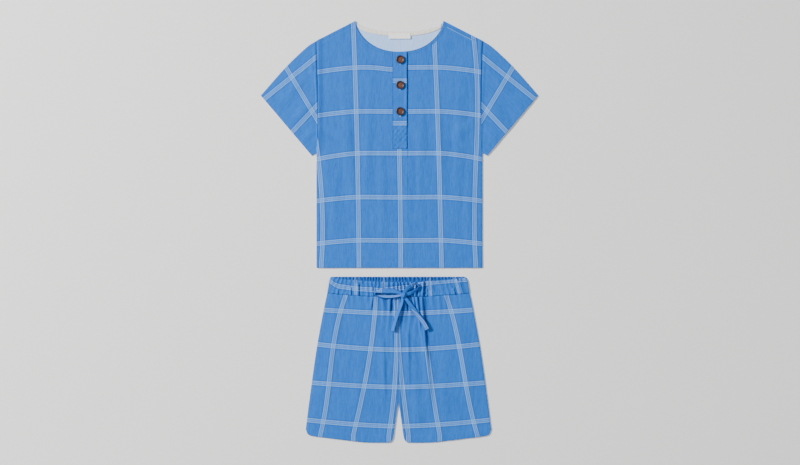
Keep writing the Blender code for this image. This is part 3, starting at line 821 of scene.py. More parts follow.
def satin(name, colour, dark):
    """A smooth woven label: fine lengthwise threads with a slight shine."""
    finish = Finish(name, Roughness=0.45, Sheen_Weight=0.1)
    weave = finish.uv("weave")
    u, v, _ = finish.split(weave)
    threads = (v * (2 * math.pi / (0.35 * MM))).sine()
    mottle = finish.noise(weave, 1.0, 2.0, (500.0, 90.0, 1.0))
    finish.set("Base Color", finish.mix(mottle.between(0.3, 0.7, 0.35, 1.0), dark, colour))
    finish.set("Roughness", mottle.between(0.3, 0.7, 0.40, 0.58))
    finish.set("Normal", finish.bump(threads * 0.4 + mottle, 0.05 * MM, 0.7))
    return finish.material


def coconut(name):
    """Turned coconut shell: brown, streaked with short pale fibres, darker at the rim."""
    finish = Finish(name, Roughness=0.42, Coat_Weight=0.25, Coat_Roughness=0.3)
    place = finish.node("ShaderNodeTexCoord", {}, {}, out=3)
    fibres = finish.noise(place, 1.0, 4.0, (1500.0, 420.0, 900.0), 0.6)
    patches = finish.noise(place, 260.0, 3.0)
    ramp = {"stops": [(0.30, srgb(36, 20, 16)), (0.54, srgb(94, 54, 34)), (0.76, srgb(176, 112, 62))]}
    brown = finish.node("ShaderNodeValToRGB", ramp, {"Fac": fibres * 0.65 + patches * 0.35})
    rim = finish.uv("weave")
    out, _, _ = finish.split(rim)
    edge = out.between(0.40, 0.80, 0.0, 0.88)
    finish.set("Base Color", finish.mix(edge, brown, srgb(46, 26, 26)))
    finish.set("Roughness", fibres.between(0.3, 0.7, 0.36, 0.52))
    finish.set("Normal", finish.bump(fibres, 0.06 * MM, 0.6))
    return finish.material


def sewing_thread(name, colour, dark):
    """Spun sewing thread: a fine twist across each stitch."""
    finish = Finish(name, Roughness=0.6, Sheen_Weight=0.2)
    place = finish.node("ShaderNodeTexCoord", {}, {}, out=3)
    x, y, z = finish.split(place)
    twist = ((x + y + z) * (2 * math.pi / (0.4 * MM))).sine()
    finish.set("Base Color", finish.mix(twist.between(-1.0, 1.0, 0.0, 0.5), colour, dark))
    finish.set("Normal", finish.bump(twist, 0.05 * MM, 0.5))
    return finish.material


def studio_floor(name):
    """A plain pale surface with the faintest unevenness."""
    finish = Finish(name, Roughness=0.9)
    place = finish.node("ShaderNodeTexCoord", {}, {}, out=3)
    mottle = finish.noise(place, 6.0, 2.0)
    finish.set("Base Color", finish.mix(mottle, (0.86, 0.86, 0.86, 1.0), (0.89, 0.89, 0.89, 1.0)))
    return finish.material


# the darker blue serves both the yarn's own uneven tone and painted shade in the crinkles' valleys
CLOTH_BLUE = srgb(32, 116, 208)
DARK_TONE_AND_SHADE_BLUE = srgb(16, 88, 180)
face_cotton = gauze("face_cotton", CLOTH_BLUE, DARK_TONE_AND_SHADE_BLUE, srgb(150, 201, 255), 1.0, trimmed=True)
reverse_cotton = gauze("reverse_cotton", srgb(180, 214, 255), srgb(154, 192, 254), srgb(222, 234, 254), 0.3)
tie_cotton = gauze("tie_cotton", CLOTH_BLUE, DARK_TONE_AND_SHADE_BLUE, srgb(178, 212, 255), 0.7, 0.3 * MM, shaded=True)
ecru_tape = twill_tape("ecru_tape", srgb(248, 246, 240), srgb(226, 220, 210))
label_satin = satin("label_satin", srgb(252, 252, 252), srgb(236, 236, 238))
button_coconut = coconut("button_coconut")
blue_thread = sewing_thread("blue_thread", srgb(56, 128, 208), srgb(26, 88, 168))
shoulder_thread = sewing_thread("shoulder_thread", srgb(92, 152, 222), srgb(66, 130, 208))
pale_thread = sewing_thread("pale_thread", srgb(206, 214, 228), srgb(160, 176, 200))
tape_thread = sewing_thread("tape_thread", srgb(230, 204, 178), srgb(204, 172, 144))
brown_thread = sewing_thread("brown_thread", srgb(120, 84, 62), srgb(70, 44, 32))


def stands_for(piece, slot, *nodes):
    """The piece rides with the set and replaces its CAD solids; its slot is not used."""
    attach(piece, BODY)
    if nodes:
        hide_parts(*nodes)


# ---- camera, floor and light ----
VIEW_WIDTH = 1.4616
CAMERA_HEIGHT = 3.0
SENSOR = 36.0

camera_data = bpy.data.cameras.new("camera")
camera_data.sensor_width = SENSOR
camera_data.lens = SENSOR * CAMERA_HEIGHT / VIEW_WIDTH
camera = bpy.data.objects.new("camera", camera_data)
camera.location = (1.1 * MM, -0.9 * MM, CAMERA_HEIGHT)
bpy.context.scene.collection.objects.link(camera)
bpy.context.scene.camera = camera


def flat_square(name, half, z, finish):
    """One square face, facing up."""
    corners = np.array([(-half, -half, z), (half, -half, z), (half, half, z), (-half, half, z)])
    return mesh_object(name, corners, np.array([[0, 1, 2, 3]]), [finish])


flat_square("floor", 6.0, 0.0, studio_floor("floor_pale"))


def soft_light(name, place, size, power, colour=(1.0, 1.0, 1.0)):
    """A square soft box that points at the middle of the set."""
    data = bpy.data.lights.new(name, "AREA")
    data.shape = "SQUARE"
    data.size = size
    data.energy = power
    data.color = colour
    obj = bpy.data.objects.new(name, data)
    obj.location = place
    obj.rotation_euler = (-Vector(place)).to_track_quat("-Z", "Y").to_euler()
    bpy.context.scene.collection.objects.link(obj)


soft_light("key", (-3.6, 1.7, 2.85), 0.96, 463.0, (1.0, 0.99, 0.97))
soft_light("fill", (1.6, -0.6, 2.4), 2.0, 16.0, (0.97, 0.99, 1.0))
world = bpy.data.worlds.new("studio")
world.use_nodes = True
world.node_tree.nodes["Background"].inputs["Color"].default_value = (1.0, 1.0, 1.0, 1.0)
world.node_tree.nodes["Background"].inputs["Strength"].default_value = 0.42
bpy.context.scene.world = world


# ---- the drawstring: its own route, repeated from the solids ----
TIE_WIDTH = 7.0 * MM
TIE_THICK = 2.2 * MM

# the bow's four free stretches, in mm, from the knot outwards
TIE_ROUTES = {
    "tie_loop_left": [(4, -112.2, 8.6), (-6, -109, 8.6), (-18, -107.4, 8.2), (-32, -107.8, 8),
                      (-41.5, -109.4, 7.8), (-44.8, -112.6, 7.6), (-40, -116.2, 7.4), (-28.5, -118, 7.6),
                      (-15, -118, 7.8), (-4, -116.8, 8), (3.6, -115.2, 8.2)],
    "tie_loop_right": [(9.2, -111.2, 9.2), (14.5, -103, 9.2), (23.8, -96, 8.6), (31.2, -94.2, 8.2),
                       (35, -99, 8), (30, -106.2, 8.1), (20, -111.2, 8.3), (10, -115, 8.6)],
    "tie_tail_left": [(6.2, -118, 8.2), (4, -131, 8), (-2.2, -148, 7.2), (-8.2, -165.5, 6.6),
                      (-12.6, -181.2, 6.4)],
    "tie_tail_right": [(9.6, -118, 8.8), (20, -132, 9), (32.8, -149.5, 9.2), (44, -165, 9.4),
                       (50.8, -177.8, 9)],
}

# per stretch: how far the flat tie turns on its edge in degrees, its share of the full width, where its
# lengthwise stripe lies across it in mm (20 is off the tie), and where along it a crosswise stripe falls
NO_STRIPE = 20.0
TIE_LOOKS = {
    "tie_loop_left": ([20, 10, 8, 8, 40, 90, 130, 160, 170, 165, 160],
                      [0.7, 1.0, 1.25, 1.3, 1.1, 0.9, 0.85, 0.8, 0.8, 0.75, 0.65],
                      [-20.0, -16.0, -12.0, -9.0, -6.0, -4.0, -2.8, -2.4, -2.2, -2.2, -2.2], 0.40),
    "tie_loop_right": ([14, 14, 24, 66, 95, 135, 160, 160],
                       [0.7, 1.05, 1.15, 1.0, 0.9, 0.95, 1.0, 0.7], [NO_STRIPE] * 8, 0.34),
    "tie_tail_left": ([10, 35, 45, 40, 30], [0.8, 0.95, 1.05, 1.1, 1.15], [NO_STRIPE] * 5, 2.0),
    "tie_tail_right": ([0, -8, -4, 0, 4], [0.8, 1.0, 1.1, 1.15, 1.15], [-16.0, -9.0, -3.4, -1.6, -0.6], 2.0),
}


def rounded(wave, power):
    """A sine or cosine swelled towards a box's shape."""
    return np.sign(wave) * np.abs(wave) ** power


def flat_tie(name, route, turns, widths, stripe, crossing, seed):
    """A flat rouleau swept along a route: rounded edges, a sewn ridge and soft wrinkles."""
    count, sides = 110, 26
    shape = (count, sides)
    shares = np.linspace(0.0, 1.0, count)
    line = along_route(smooth_route(route, 12), shares)
    length = float(np.sum(np.linalg.norm(np.diff(line, axis=0), axis=1)))
    marks = np.linspace(0.0, 1.0, len(turns))
    turn = np.radians(np.interp(shares, marks, turns))[:, None]
    width = np.interp(shares, marks, widths) * TIE_WIDTH / 2
    tangent = unit(np.gradient(line, axis=0))
    level = unit(np.cross(np.array([0.0, 0.0, 1.0]), tangent))
    flatwise = np.cos(turn) * level + np.sin(turn) * np.cross(tangent, level)
    thickwise = np.cross(tangent, flatwise)
    around = np.linspace(0.0, 2 * np.pi, sides, endpoint=False)
    along = shares[:, None] * length
    wrinkle = 1 + 0.10 * ripple(along, np.sin(around)[None] * 0.01, seed, 0.010, 0.05)
    across = rounded(np.cos(around), 0.75)
    thick = rounded(np.sin(around), 0.85)
    from_end = np.minimum(shares, 1 - shares) * length
    end = np.sqrt(1 - (1 - np.clip(from_end / (0.8 * MM), 0.0, 1.0)) ** 2) * 0.98 + 0.02
    ridge = 1 + 0.12 * bell(around - np.pi, 0.35)
    a = (width * (0.6 + 0.4 * end))[:, None] * across * ridge
    b = TIE_THICK / 2 * end[:, None] * thick * wrinkle * (1 - 0.22 * bell(across, 0.30))
    points = line[:, None] + a[..., None] * flatwise[:, None] + b[..., None] * thickwise[:, None]
    stripe_line = np.interp(shares, marks, stripe)[:, None] * MM
    down = np.clip(across * TIE_WIDTH / 2 - stripe_line, -STRIPE_REACH, STRIPE_REACH)
    # painted shade: the tie's fold UV darkens it towards both edges
    uvs = {"check": pair_uv(down, stripes(along, [length * crossing]), shape),
           "weave": pair_uv(across * TIE_WIDTH + 0.3 * (thick > 0), along, shape),
           "fold": pair_uv(np.abs(across) ** 5 * 0.7, 0.0, shape)}
    at_ends = {"check": STRIPE_REACH, "weave": 0.0, "fold": 0.0}
    uvs = {label: np.vstack([values, np.full((2, 2), at_ends[label])]) for label, values in uvs.items()}
    first, last = count * sides, count * sides + 1
    caps = []
    for step in range(sides):
        after = (step + 1) % sides
        caps.append((first, step, after))
        caps.append((last, (count - 1) * sides + after, (count - 1) * sides + step))
    mesh_points = np.vstack([points.reshape(-1, 3), line[[0, -1]]])
    obj = mesh_object(name, mesh_points, tube_faces(count, sides), [tie_cotton], None, uvs)
    closed_up(obj, caps, merge=False)
    return obj, line, length


def tie_knot():
    """The knot: a wrinkled core with the tie wrapped over it from front to back."""
    centre = np.array((knot_low + knot_high) / 2) + np.array([2.2, -1.4, 0.0]) * MM
    rings, sides = 34, 44
    latitude = np.linspace(0.0, np.pi, rings)[:, None]
    longitude = np.linspace(0.0, 2 * np.pi, sides, endpoint=False)[None]
    out = np.sin(latitude)
    ball = grid_of(out * np.cos(longitude), out * np.sin(longitude), np.cos(latitude))
    pleats = 1 + 0.07 * np.cos(7 * longitude + 3.0 * latitude) * out
    pleats = pleats + 0.05 * ripple(ball[..., 0], ball[..., 1], 61, 0.5, 0.5)
    core = centre + rounded(ball, 0.8) * np.array([5.2, 4.4, 2.9]) * MM * pleats[..., None]
    # painted shade: the knot's fold UV darkens its lower side
    uvs = {"check": pair_uv(STRIPE_REACH, STRIPE_REACH, (rings, sides)),
           "weave": pair_uv(ball[..., 0] * 8 * MM, ball[..., 1] * 8 * MM, (rings, sides)),
           "fold": pair_uv(np.clip(0.35 - ball[..., 2], 0.0, 1.0), 0.0, (rings, sides))}
    obj = mesh_object("knot_core", core.reshape(-1, 3), tube_faces(rings, sides), [tie_cotton], None, uvs)
    closed_up(obj)
    angle = np.linspace(-2.0, 2.0, 9)
    loop = [-2.1 * MM * np.sin(angle), -4.7 * MM * np.sin(angle), 3.9 * MM * np.cos(angle) + 0.2 * MM]
    turns, widths = [0, 0, 4, 8, 8, 6, 2, 0, 0], [0.65, 0.75, 0.82, 0.86, 0.86, 0.86, 0.82, 0.75, 0.65]
    route = centre + np.stack(loop, axis=-1)
    wrap, _, _ = flat_tie("knot_wrap", route, turns, widths, [NO_STRIPE] * len(turns), 3.0, 67)
    return joined("drawstring_knot", [obj, wrap])


knot = tie_knot()
stands_for(knot, "drawstring_cotton", "tie_knot")
for seed, (node, route) in enumerate(TIE_ROUTES.items(), start=71):
    name = node.replace("tie", "drawstring")
    tie, line, length = flat_tie(name, np.array(route) * MM, *TIE_LOOKS[node], seed)
    stands_for(tie, "drawstring_cotton", node)


# ---- the top ----
x, y = body_grid(BACK_NECK_DEPTH, 3.6 * MM, False)
back = cloth("back", x, y, np.full_like(x, BACK_MIDDLE), body_check(x, y), (x, y),
             reverse_cotton, face_cotton)
stands_for(back, "check_cotton", "top_back")

x, y = body_grid(FRONT_NECK_DEPTH, 2.3 * MM, True)
neck = neck_gap(x, y, FRONT_NECK_DEPTH)
uncut = np.clip(np.where(x > -0.072, neck, STRIPE_REACH), 0.0, STRIPE_REACH)
# painted shade along the front's neck edge
front = cloth("front", x, y, top_relief(x, y), body_check(x, y), (x, y), face_cotton, reverse_cotton,
              trim=(uncut, 1.0), shade=1.0 - ease(0.5 * MM, 1.6 * MM, neck))
stands_for(front, "check_cotton", "top_front")


def strip_grid(left, right, bottom, step):
    """A placket band's grid: straight sides and foot, and the neckline's curve on top."""
    columns = left + (right - left) * spread(right - left, step)
    high = neck_y(columns, FRONT_NECK_DEPTH)
    y = bottom + (high[None] - bottom) * spread(float(high.max()) - bottom, step)[:, None]
    return np.broadcast_to(columns[None], y.shape), y


def placket_check(x, y):
    """The band's own crosswise stripes, cut without matching the body's."""
    return STRIPE_REACH, stripes(y, [0.3540, 0.2760, 0.1985, 0.1210])


x, y = strip_grid(SLOT_LEFT + 1.3 * MM, SLOT_RIGHT + OPEN_EDGE - SEAM_GAP, SLOT_BOTTOM + SEAM_GAP, 1.6 * MM)
under = cloth("placket_lower_band", x, y, np.full_like(x, FRONT_MIDDLE - 0.25 * MM),
              placket_check(x, y + 0.02), (x + 0.4, y), face_cotton, reverse_cotton)
stands_for(under, "check_cotton", "placket_under")

x, y = strip_grid(placket_low.x, SLOT_RIGHT - 0.3 * MM, PLACKET_BOTTOM, 1.1 * MM)
# painted shade along the upper band's left edge
over = cloth("placket_upper_band", x, y, placket_relief(x, y), placket_check(x, y), (x + 0.3, y + 0.1),
             face_cotton, reverse_cotton, shade=0.85 * (1 - ease(0.6 * MM, 2.2 * MM, x - placket_low.x)))
stands_for(over, "check_cotton", "placket_over")


# ---- the sleeves ----
SLEEVE_BEND = (0.0195, -0.0140)
SLEEVE_MIDDLE = (0.0560, -0.0490)
SLEEVE_CORNER = (0.1014, -0.1004)
CUFF_CORNER = (0.0086, -0.2098)
SLEEVE_LENGTH = 0.144
SLEEVE_TUCK = 2.6 * MM
FOLD_RADIUS = (FRONT_MIDDLE - BACK_MIDDLE) / 2


def sleeve_check(x, y):
    """The sleeve's stripes, by distance from the cuff and from the folded edge."""
    corner, low = (np.array([BODY_HALF + px, SHOULDER_Y + py]) for px, py in (SLEEVE_CORNER, CUFF_CORNER))
    cuff = unit(low - corner)
    dx, dy = x - corner[0], y - corner[1]
    from_cuff = dx * cuff[1] - dy * cuff[0]
    from_fold = -(dx + dy) / math.sqrt(2)
    share = np.clip(from_cuff / 0.126, 0.0, 1.3)
    first = 8.6 * MM + 13.5 * MM * share
    gap = 78.6 * MM - 17.4 * MM * share
    lengthwise = stripes(from_fold, [first - gap, first, first + gap, first + 2 * gap])
    return lengthwise, stripes(from_cuff, [67.4 * MM - 0.17 * from_fold]), from_cuff, from_fold


def sleeve_piece(name, side):
    """One flattened tube: a front and a back layer that meet at the folded top edge and underarm."""
    tip = np.array([BODY_HALF + SEAM_GAP, SHOULDER_Y])
    shares = spread(SLEEVE_LENGTH, 2.0 * MM, False, True)
    u = shares[:, None]
    top = tip + along_route(smooth_route([(0.0, 0.0), SLEEVE_BEND, SLEEVE_MIDDLE, SLEEVE_CORNER], 10), shares)
    start = tip + np.array([0.0, -ARMHOLE_LENGTH])
    bottom = start + (tip + np.array(CUFF_CORNER) - start) * u
    reach = np.linalg.norm(bottom - top, axis=1)[:, None]
    down = unit(bottom - top)

    inset = FOLD_RADIUS + 0.3 * MM
    travel = inset + (reach - 2 * inset) * np.linspace(0.0, 1.0, 62)
    flat = top[:, None] + down[:, None] * travel[..., None]
    w = travel / reach
    inner = np.minimum(w, 1 - w)
    tuck = SLEEVE_TUCK * (1 - ease(0.0, 0.10, u))
    back_x, y = flat[..., 0] - ARMHOLE_SCOOP * np.sin(np.pi * w) * (1 - u) ** 2, flat[..., 1]
    x = back_x - tuck
    folds = sum(fold(x, y, line) for line in SLEEVE_FOLDS) + crinkle(x, y, 83)
    if side < 0:
        folds = folds + crease(x, y, SLEEVE_CREASE, 1.0)
    hem = hem_relief(sleeve_check(x, y)[2], w * 0.14, 16.0 * MM, 89)
    rise = (1.9 if side < 0 else 0.8) * MM
    dip = -0.42 * MM * (1 - ease(0.010, 0.045, u)) + rise * bell(u - 0.046, 0.021) * ease(0.0, 0.15, inner)
    front_z = FRONT_MIDDLE + (folds + hem) * ease(0.0, 0.12, inner) * ease(0.0, 0.12, u) + dip

    turn = np.linspace(0.0, np.pi / 2, 6)[1:]
    bend = np.concatenate([turn, np.pi - turn[-2::-1]])
    out = FOLD_RADIUS * np.sin(bend) + 0.15 * MM

    def lip(travel, angles, edge_z, way):
        """The rounded edge where the front layer turns over to the back one."""
        place = top[:, None] + down[:, None] * travel[..., None]
        z = (edge_z + BACK_MIDDLE) / 2 + (edge_z - BACK_MIDDLE) / 2 * np.cos(angles)
        return grid_of(place[..., 0] - tuck * 0.5, place[..., 1], z, way, np.cos(angles))

    data = np.concatenate([
        grid_of(x, y, front_z, 0.0, 1.0),
        lip(reach - inset + out, bend, front_z[:, -1:], 1.0),
        grid_of(back_x, y, BACK_MIDDLE, 0.0, -1.0)[:, ::-1],
        lip(inset - out[::-1], bend[::-1], front_z[:, :1], -1.0),
    ], axis=1)
    rings, around = data.shape[:2]
    middle, facing = data[..., :3], data[..., 4:5]
    sideways = data[..., 3:4] * np.sqrt(np.clip(1 - facing ** 2, 0, 1))
    from_end = np.minimum((1 - shares) * SLEEVE_LENGTH, shares * SLEEVE_LENGTH + 0.4 * MM)
    offset = np.concatenate([down[:, None] * sideways, facing], axis=-1)
    offset = offset * rolled_half(from_end)[:, None, None]
    flip = np.array([side, 1.0, 1.0])
    points = np.vstack([((middle + way * offset) * flip).reshape(-1, 3) for way in (1, -1)])

    total = rings * around
    tube = tube_faces(rings, around)
    here = np.arange(around)
    after = (here + 1) % around
    rim = np.stack([here, after, after + total, here + total], axis=-1)
    rims = [rim + ring * around for ring in (0, rings - 1)]
    slots = np.repeat(np.array([0, 1, 0], dtype=np.int32), [len(tube), len(tube), 2 * around])

    # painted shade along the armhole seam, strongest a little below half-way down, added to the painted fold
    # shade
    fall = np.clip((SHOULDER_Y - middle[..., 1]) / ARMHOLE_LENGTH, 0.0, 1.0)
    hollow = 0.036 + 0.014 * bell(fall - 0.55, 0.25)
    in_seam = (0.75 + 0.35 * bell(fall - 0.55, 0.30)) * (1 - ease(0.68, 1.0, u / hollow))
    shaded = np.clip(sunk_share(middle[..., 2], 3, False) + in_seam, 0.0, 1.0)
    lengthwise, round_it, from_cuff, from_fold = sleeve_check(middle[..., 0], middle[..., 1])
    layers = {"check": (lengthwise, round_it), "weave": (from_fold, from_cuff),
              "trim": (STRIPE_REACH, 1.0), "fold": (shaded, 0.0)}
    uvs = {label: np.tile(pair_uv(*pair, (rings, around)), (2, 1)) for label, pair in layers.items()}
    faces = np.vstack([tube[:, [0, 3, 2, 1]], tube + total, *rims])
    obj = mesh_object(name, points, faces, [face_cotton, reverse_cotton], slots, uvs)
    closed_up(obj)
    return obj


for side, label in ((-1.0, "left"), (1.0, "right")):
    sleeve = sleeve_piece(f"sleeve_cloth_{label}", side)
    stands_for(sleeve, "check_cotton", f"sleeve_{label}")


# ---- the shorts ----
def coons(low, high, start, end):
    """A grid of places inside four boundary curves: low and high run across, start and end run up."""
    columns = np.linspace(0.0, 1.0, len(low))[None, :, None]
    rows = np.linspace(0.0, 1.0, len(start))[:, None, None]
    across = (1 - rows) * low[None] + rows * high[None]
    up = (1 - columns) * start[:, None] + columns * end[:, None]
    foot = (1 - columns) * low[0] + columns * low[-1]
    head = (1 - columns) * high[0] + columns * high[-1]
    return across + up - (1 - rows) * foot - rows * head


# a leg's hem and inner edge, in mm from the centre seam
LEG_HEM = [(10.4, -377.5), (14.8, -384.2), (24, SHORTS_BOTTOM / MM), (64, -384.7), (115, -378.5),
           (157, -372.6), (165.5, -369), (169.2, -360)]
INNER_LEG = [(10.4, -377.5), (8.2, -366), (4.2, -335.6), (1.2, -315), (SEAM_GAP / MM, -309.8)]


def leg_grid(side, seam_y, lift, step):
    """One leg's grid, hem first, with its columns running towards +X."""
    hem = smooth_route(np.array(LEG_HEM) * MM, 10)
    hem[:, 1] = np.maximum(hem[:, 1], SHORTS_BOTTOM) + lift * ease(0.006, 0.020, hem[:, 0])
    outer = smooth_route([*LEG_SIDE[1:-1], (WAIST_SEAM_HALF, SEAM_SIDE_Y)], 12)
    inner = smooth_route(np.array(INNER_LEG) * MM, 8)
    inner = np.vstack([inner, np.linspace(inner[-1], (SEAM_GAP, seam_y), 40)[1:]])
    outs = np.linspace(SEAM_GAP, WAIST_SEAM_HALF, 60)
    seam = grid_of(outs, SEAM_SIDE_Y + (seam_y - SEAM_SIDE_Y) * (1 - (outs / WAIST_SEAM_HALF) ** 2))
    across = spread(0.150, step)
    up = spread(0.270, step)
    places = coons(along_route(hem, across), along_route(seam, across),
                   along_route(inner, up), along_route(outer, up))
    places = places[:, ::int(side)]
    return SHORTS_X + side * places[..., 0], places[..., 1]


for side, label in ((-1.0, "left"), (1.0, "right")):
    x, y = leg_grid(side, SEAM_SIDE_Y, 0.0, 3.4 * MM)
    back_leg = cloth(f"back_leg_{label}", x, y, np.full_like(x, BACK_MIDDLE), leg_check(x, y, side),
                     (x, y + 0.3), reverse_cotton, face_cotton)
    stands_for(back_leg, "check_cotton", f"shorts_back_{label}")

    x, y = leg_grid(side, SEAM_MIDDLE_Y, HEM_PEEK, 1.4 * MM)
    leg = cloth(f"front_leg_{label}", x, y, leg_relief(x, y, side), leg_check(x, y, side), (x, y),
                face_cotton, reverse_cotton, trim=leg_trim(x, y, side))
    stands_for(leg, "check_cotton", f"shorts_front_{label}")


def waistband_piece(name, front, step):
    """One half of the ruched elastic waistband."""
    across = SHORTS_X + (2 * spread(2 * WAIST_HALF, step) - 1) * WAIST_HALF
    share = waist_share(across)
    foot_x = SHORTS_X + share * WAIST_SEAM_HALF
    if front:
        foot = waist_seam(foot_x)
        wave = 0.35 * MM * ripple(across, across * 0, 97, 0.011, 1.0) * (1 - np.abs(share) ** 8)
        rim = rim_line(across) + wave
    else:
        foot = np.full(foot_x.shape, SEAM_SIDE_Y)
        wave = 0.25 * MM * ripple(across, across * 0, 99, 0.009, 1.0) - 0.25 * MM
        rim = WAIST_Y - waist_corner(share) + wave
    rim = np.minimum(rim, WAIST_Y)
    rows = spread(WAISTBAND_HEIGHT, 1.5 * MM)[:, None]
    x = foot_x[None] + (across - foot_x)[None] * rows
    y = foot[None] + SEAM_GAP + (rim - foot - SEAM_GAP)[None] * rows
    # painted shade on the back band's inside, between its rim and the front band's dipped rim
    inside = 0.0 if front else 0.22 * ease(-3.0 * MM, 0.0, y - rim_line(x)) * (1 - share[None] ** 4)
    return cloth(name, x, y, waistband_relief(x, y, front), waistband_check(x, y, front), (x * 1.3, y + 0.2),
                 face_cotton, face_cotton, shade=inside)


for front_half, label in ((False, "back"), (True, "front")):
    band = waistband_piece(f"waistband_{label}_cloth", front_half, 0.85 * MM)
    stands_for(band, "check_cotton", f"waistband_{label}")


# ---- neck tape and label ----
TAPE_WALL = 0.9 * MM
TAPE_MIDDLE = BACK_MIDDLE + 1.15 * MM
LABEL_WALL = 0.7 * MM
PLAIN = (STRIPE_REACH, STRIPE_REACH)

tape_x = (NECK_HALF - 3.0 * MM) * np.sin(np.linspace(-1.0, 1.0, 150) * np.pi / 2)
upper = neck_y(tape_x, BACK_NECK_DEPTH) - 0.3 * MM
lower = np.maximum(upper - 8.0 * MM, neck_y(tape_x, FRONT_NECK_DEPTH) + 0.4 * MM)
rows = spread(8.0 * MM, 0.8 * MM)[:, None]
y = lower[None] + (upper - lower)[None] * rows
x = np.broadcast_to(tape_x[None], y.shape) * (0.985 + 0.015 * rows)
tape_relief = TAPE_MIDDLE + 0.10 * MM * ripple(x, y, 101, 0.012, 0.02)
tape = cloth("back_neck_tape", x, y, tape_relief, PLAIN, (x, y), ecru_tape, ecru_tape, TAPE_WALL, 1.0 * MM)
stands_for(tape, "ecru_tape", "neck_tape")

label_left, label_right = label_low.x + 0.6 * MM, label_high.x - 1.8 * MM
label_height = label_high.y - label_low.y


def label_middle(y):
    """Height of the middle of the label, which lifts off the tape towards its foot."""
    return BACK_MIDDLE + 2.05 * MM + 0.5 * MM * ease(0.4, 1.0, (label_high.y - y) / label_height)


across = label_left + (label_right - label_left) * spread(label_right - label_left, 1.0 * MM)
x, y = np.meshgrid(across, label_low.y + label_height * spread(label_height, 0.8 * MM))
label_relief = label_middle(y) + 0.08 * MM * ripple(x, y, 103, 0.015, 0.02)
label = cloth("blank_label", x, y, label_relief, PLAIN, (x, y), label_satin, label_satin,
              LABEL_WALL, 0.8 * MM)
stands_for(label, "label_satin", "neck_label")


# ---- buttons ----
BUTTON_HOLE = 0.85 * MM
HOLE_PITCH = 3.4 * MM
# distance from the middle and height, as shares of a button's radius and thickness
BUTTON_PROFILE = [(0.0, 0.30), (0.45, 0.31), (0.62, 0.36), (0.70, 0.66), (0.78, 0.93), (0.88, 1.0),
                  (0.97, 0.90), (1.0, 0.62), (0.97, 0.30), (0.86, 0.10), (0.60, 0.02), (0.0, 0.0)]


def hole_place(centre, angle, z):
    """The middle of the hole at this angle."""
    reach = HOLE_PITCH / math.sqrt(2)
    return np.array([centre.x + reach * math.cos(angle), centre.y + reach * math.sin(angle), z])


def button_piece(name, low, high, turn):
    """A turned button: rounded rim, dished middle and four sewn holes."""
    centre = (low + high) / 2
    profile = smooth_route(BUTTON_PROFILE, 4)
    out = np.clip(profile[:, 0], 0.0, 1.0)
    rings, sides = len(profile), 56
    angles = np.linspace(0.0, 2 * np.pi, sides, endpoint=False)
    reach = out[:, None] * (high.x - low.x) / 2
    z = low.z + profile[:, 1:2] * (high.z - low.z)
    points = grid_of(centre.x + reach * np.cos(angles), centre.y + reach * np.sin(angles), z).reshape(-1, 3)
    uvs = {"weave": pair_uv(out[:, None], angles, (rings, sides))}
    obj = mesh_object(name, points, tube_faces(rings, sides), [button_coconut], None, uvs)
    closed_up(obj)
    for quarter in range(4):
        bpy.ops.mesh.primitive_cylinder_add(vertices=20, radius=BUTTON_HOLE, depth=0.02)
        cutter = bpy.context.object
        cutter.location = hole_place(centre, turn + quarter * math.pi / 2, centre.z)
        cut = obj.modifiers.new("hole", "BOOLEAN")
        cut.object = cutter
        bpy.context.view_layer.objects.active = obj
        bpy.context.view_layer.update()
        bpy.ops.object.modifier_apply(modifier=cut.name)
        bpy.data.objects.remove(cutter, do_unlink=True)
    obj.data.set_sharp_from_angle(angle=math.radians(40))
    return obj


def baked(name, holder):
    """A plain mesh object with what a curve or a modifier makes, in place of its holder."""
    bpy.context.view_layer.update()
    mesh = bpy.data.meshes.new_from_object(holder.evaluated_get(bpy.context.evaluated_depsgraph_get()))
    bpy.data.objects.remove(holder, do_unlink=True)
    mesh.name = name
    return placed_in_scene(name, mesh)


def thread_run(name, marks, radius, finish):
    """A short length of thread swept along marks."""
    curve = bpy.data.curves.new(name, "CURVE")
    curve.dimensions = "3D"
    curve.bevel_depth = radius
    curve.bevel_resolution = 2
    curve.use_fill_caps = True
    route = smooth_route(marks, 5)
    spline = curve.splines.new("POLY")
    spline.points.add(len(route) - 1)
    for point, place in zip(spline.points, route):
        point.co = (*place, 1.0)
    obj = baked(name, placed_in_scene(name, curve))
    obj.data.materials.clear()
    obj.data.materials.append(finish)
    obj.data.polygons.foreach_set("use_smooth", np.ones(len(obj.data.polygons), dtype=bool))
    return obj


for number, turn in ((1, 0.80), (2, 0.62), (3, 0.95)):
    low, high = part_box(f"button_{number}")
    button = button_piece(f"coconut_button_{number}", low, high, turn)
    stands_for(button, "button_coconut", f"button_{number}")
    centre, thick = (low + high) / 2, high.z - low.z
    rise = np.array([0.0, 0.0, 0.34 * thick])
    runs = []
    for pair in range(2):
        angle = turn + pair * math.pi
        aside = np.array([math.cos(angle + math.pi / 4), math.sin(angle + math.pi / 4), 0.0])
        for strand in (-0.22, 0.22):
            start, end = (hole_place(centre, angle + more, low.z + 0.2 * thick) + aside * strand * MM
                          for more in (0.0, math.pi / 2))
            marks = [start, start * 0.88 + end * 0.12 + rise * 0.8, (start + end) / 2 + rise,
                     start * 0.12 + end * 0.88 + rise * 0.8, end]
            runs.append(thread_run(f"run_{pair}_{strand}", marks, 0.24 * MM, brown_thread))
    stands_for(joined(f"button_thread_{number}", runs), "button_coconut")


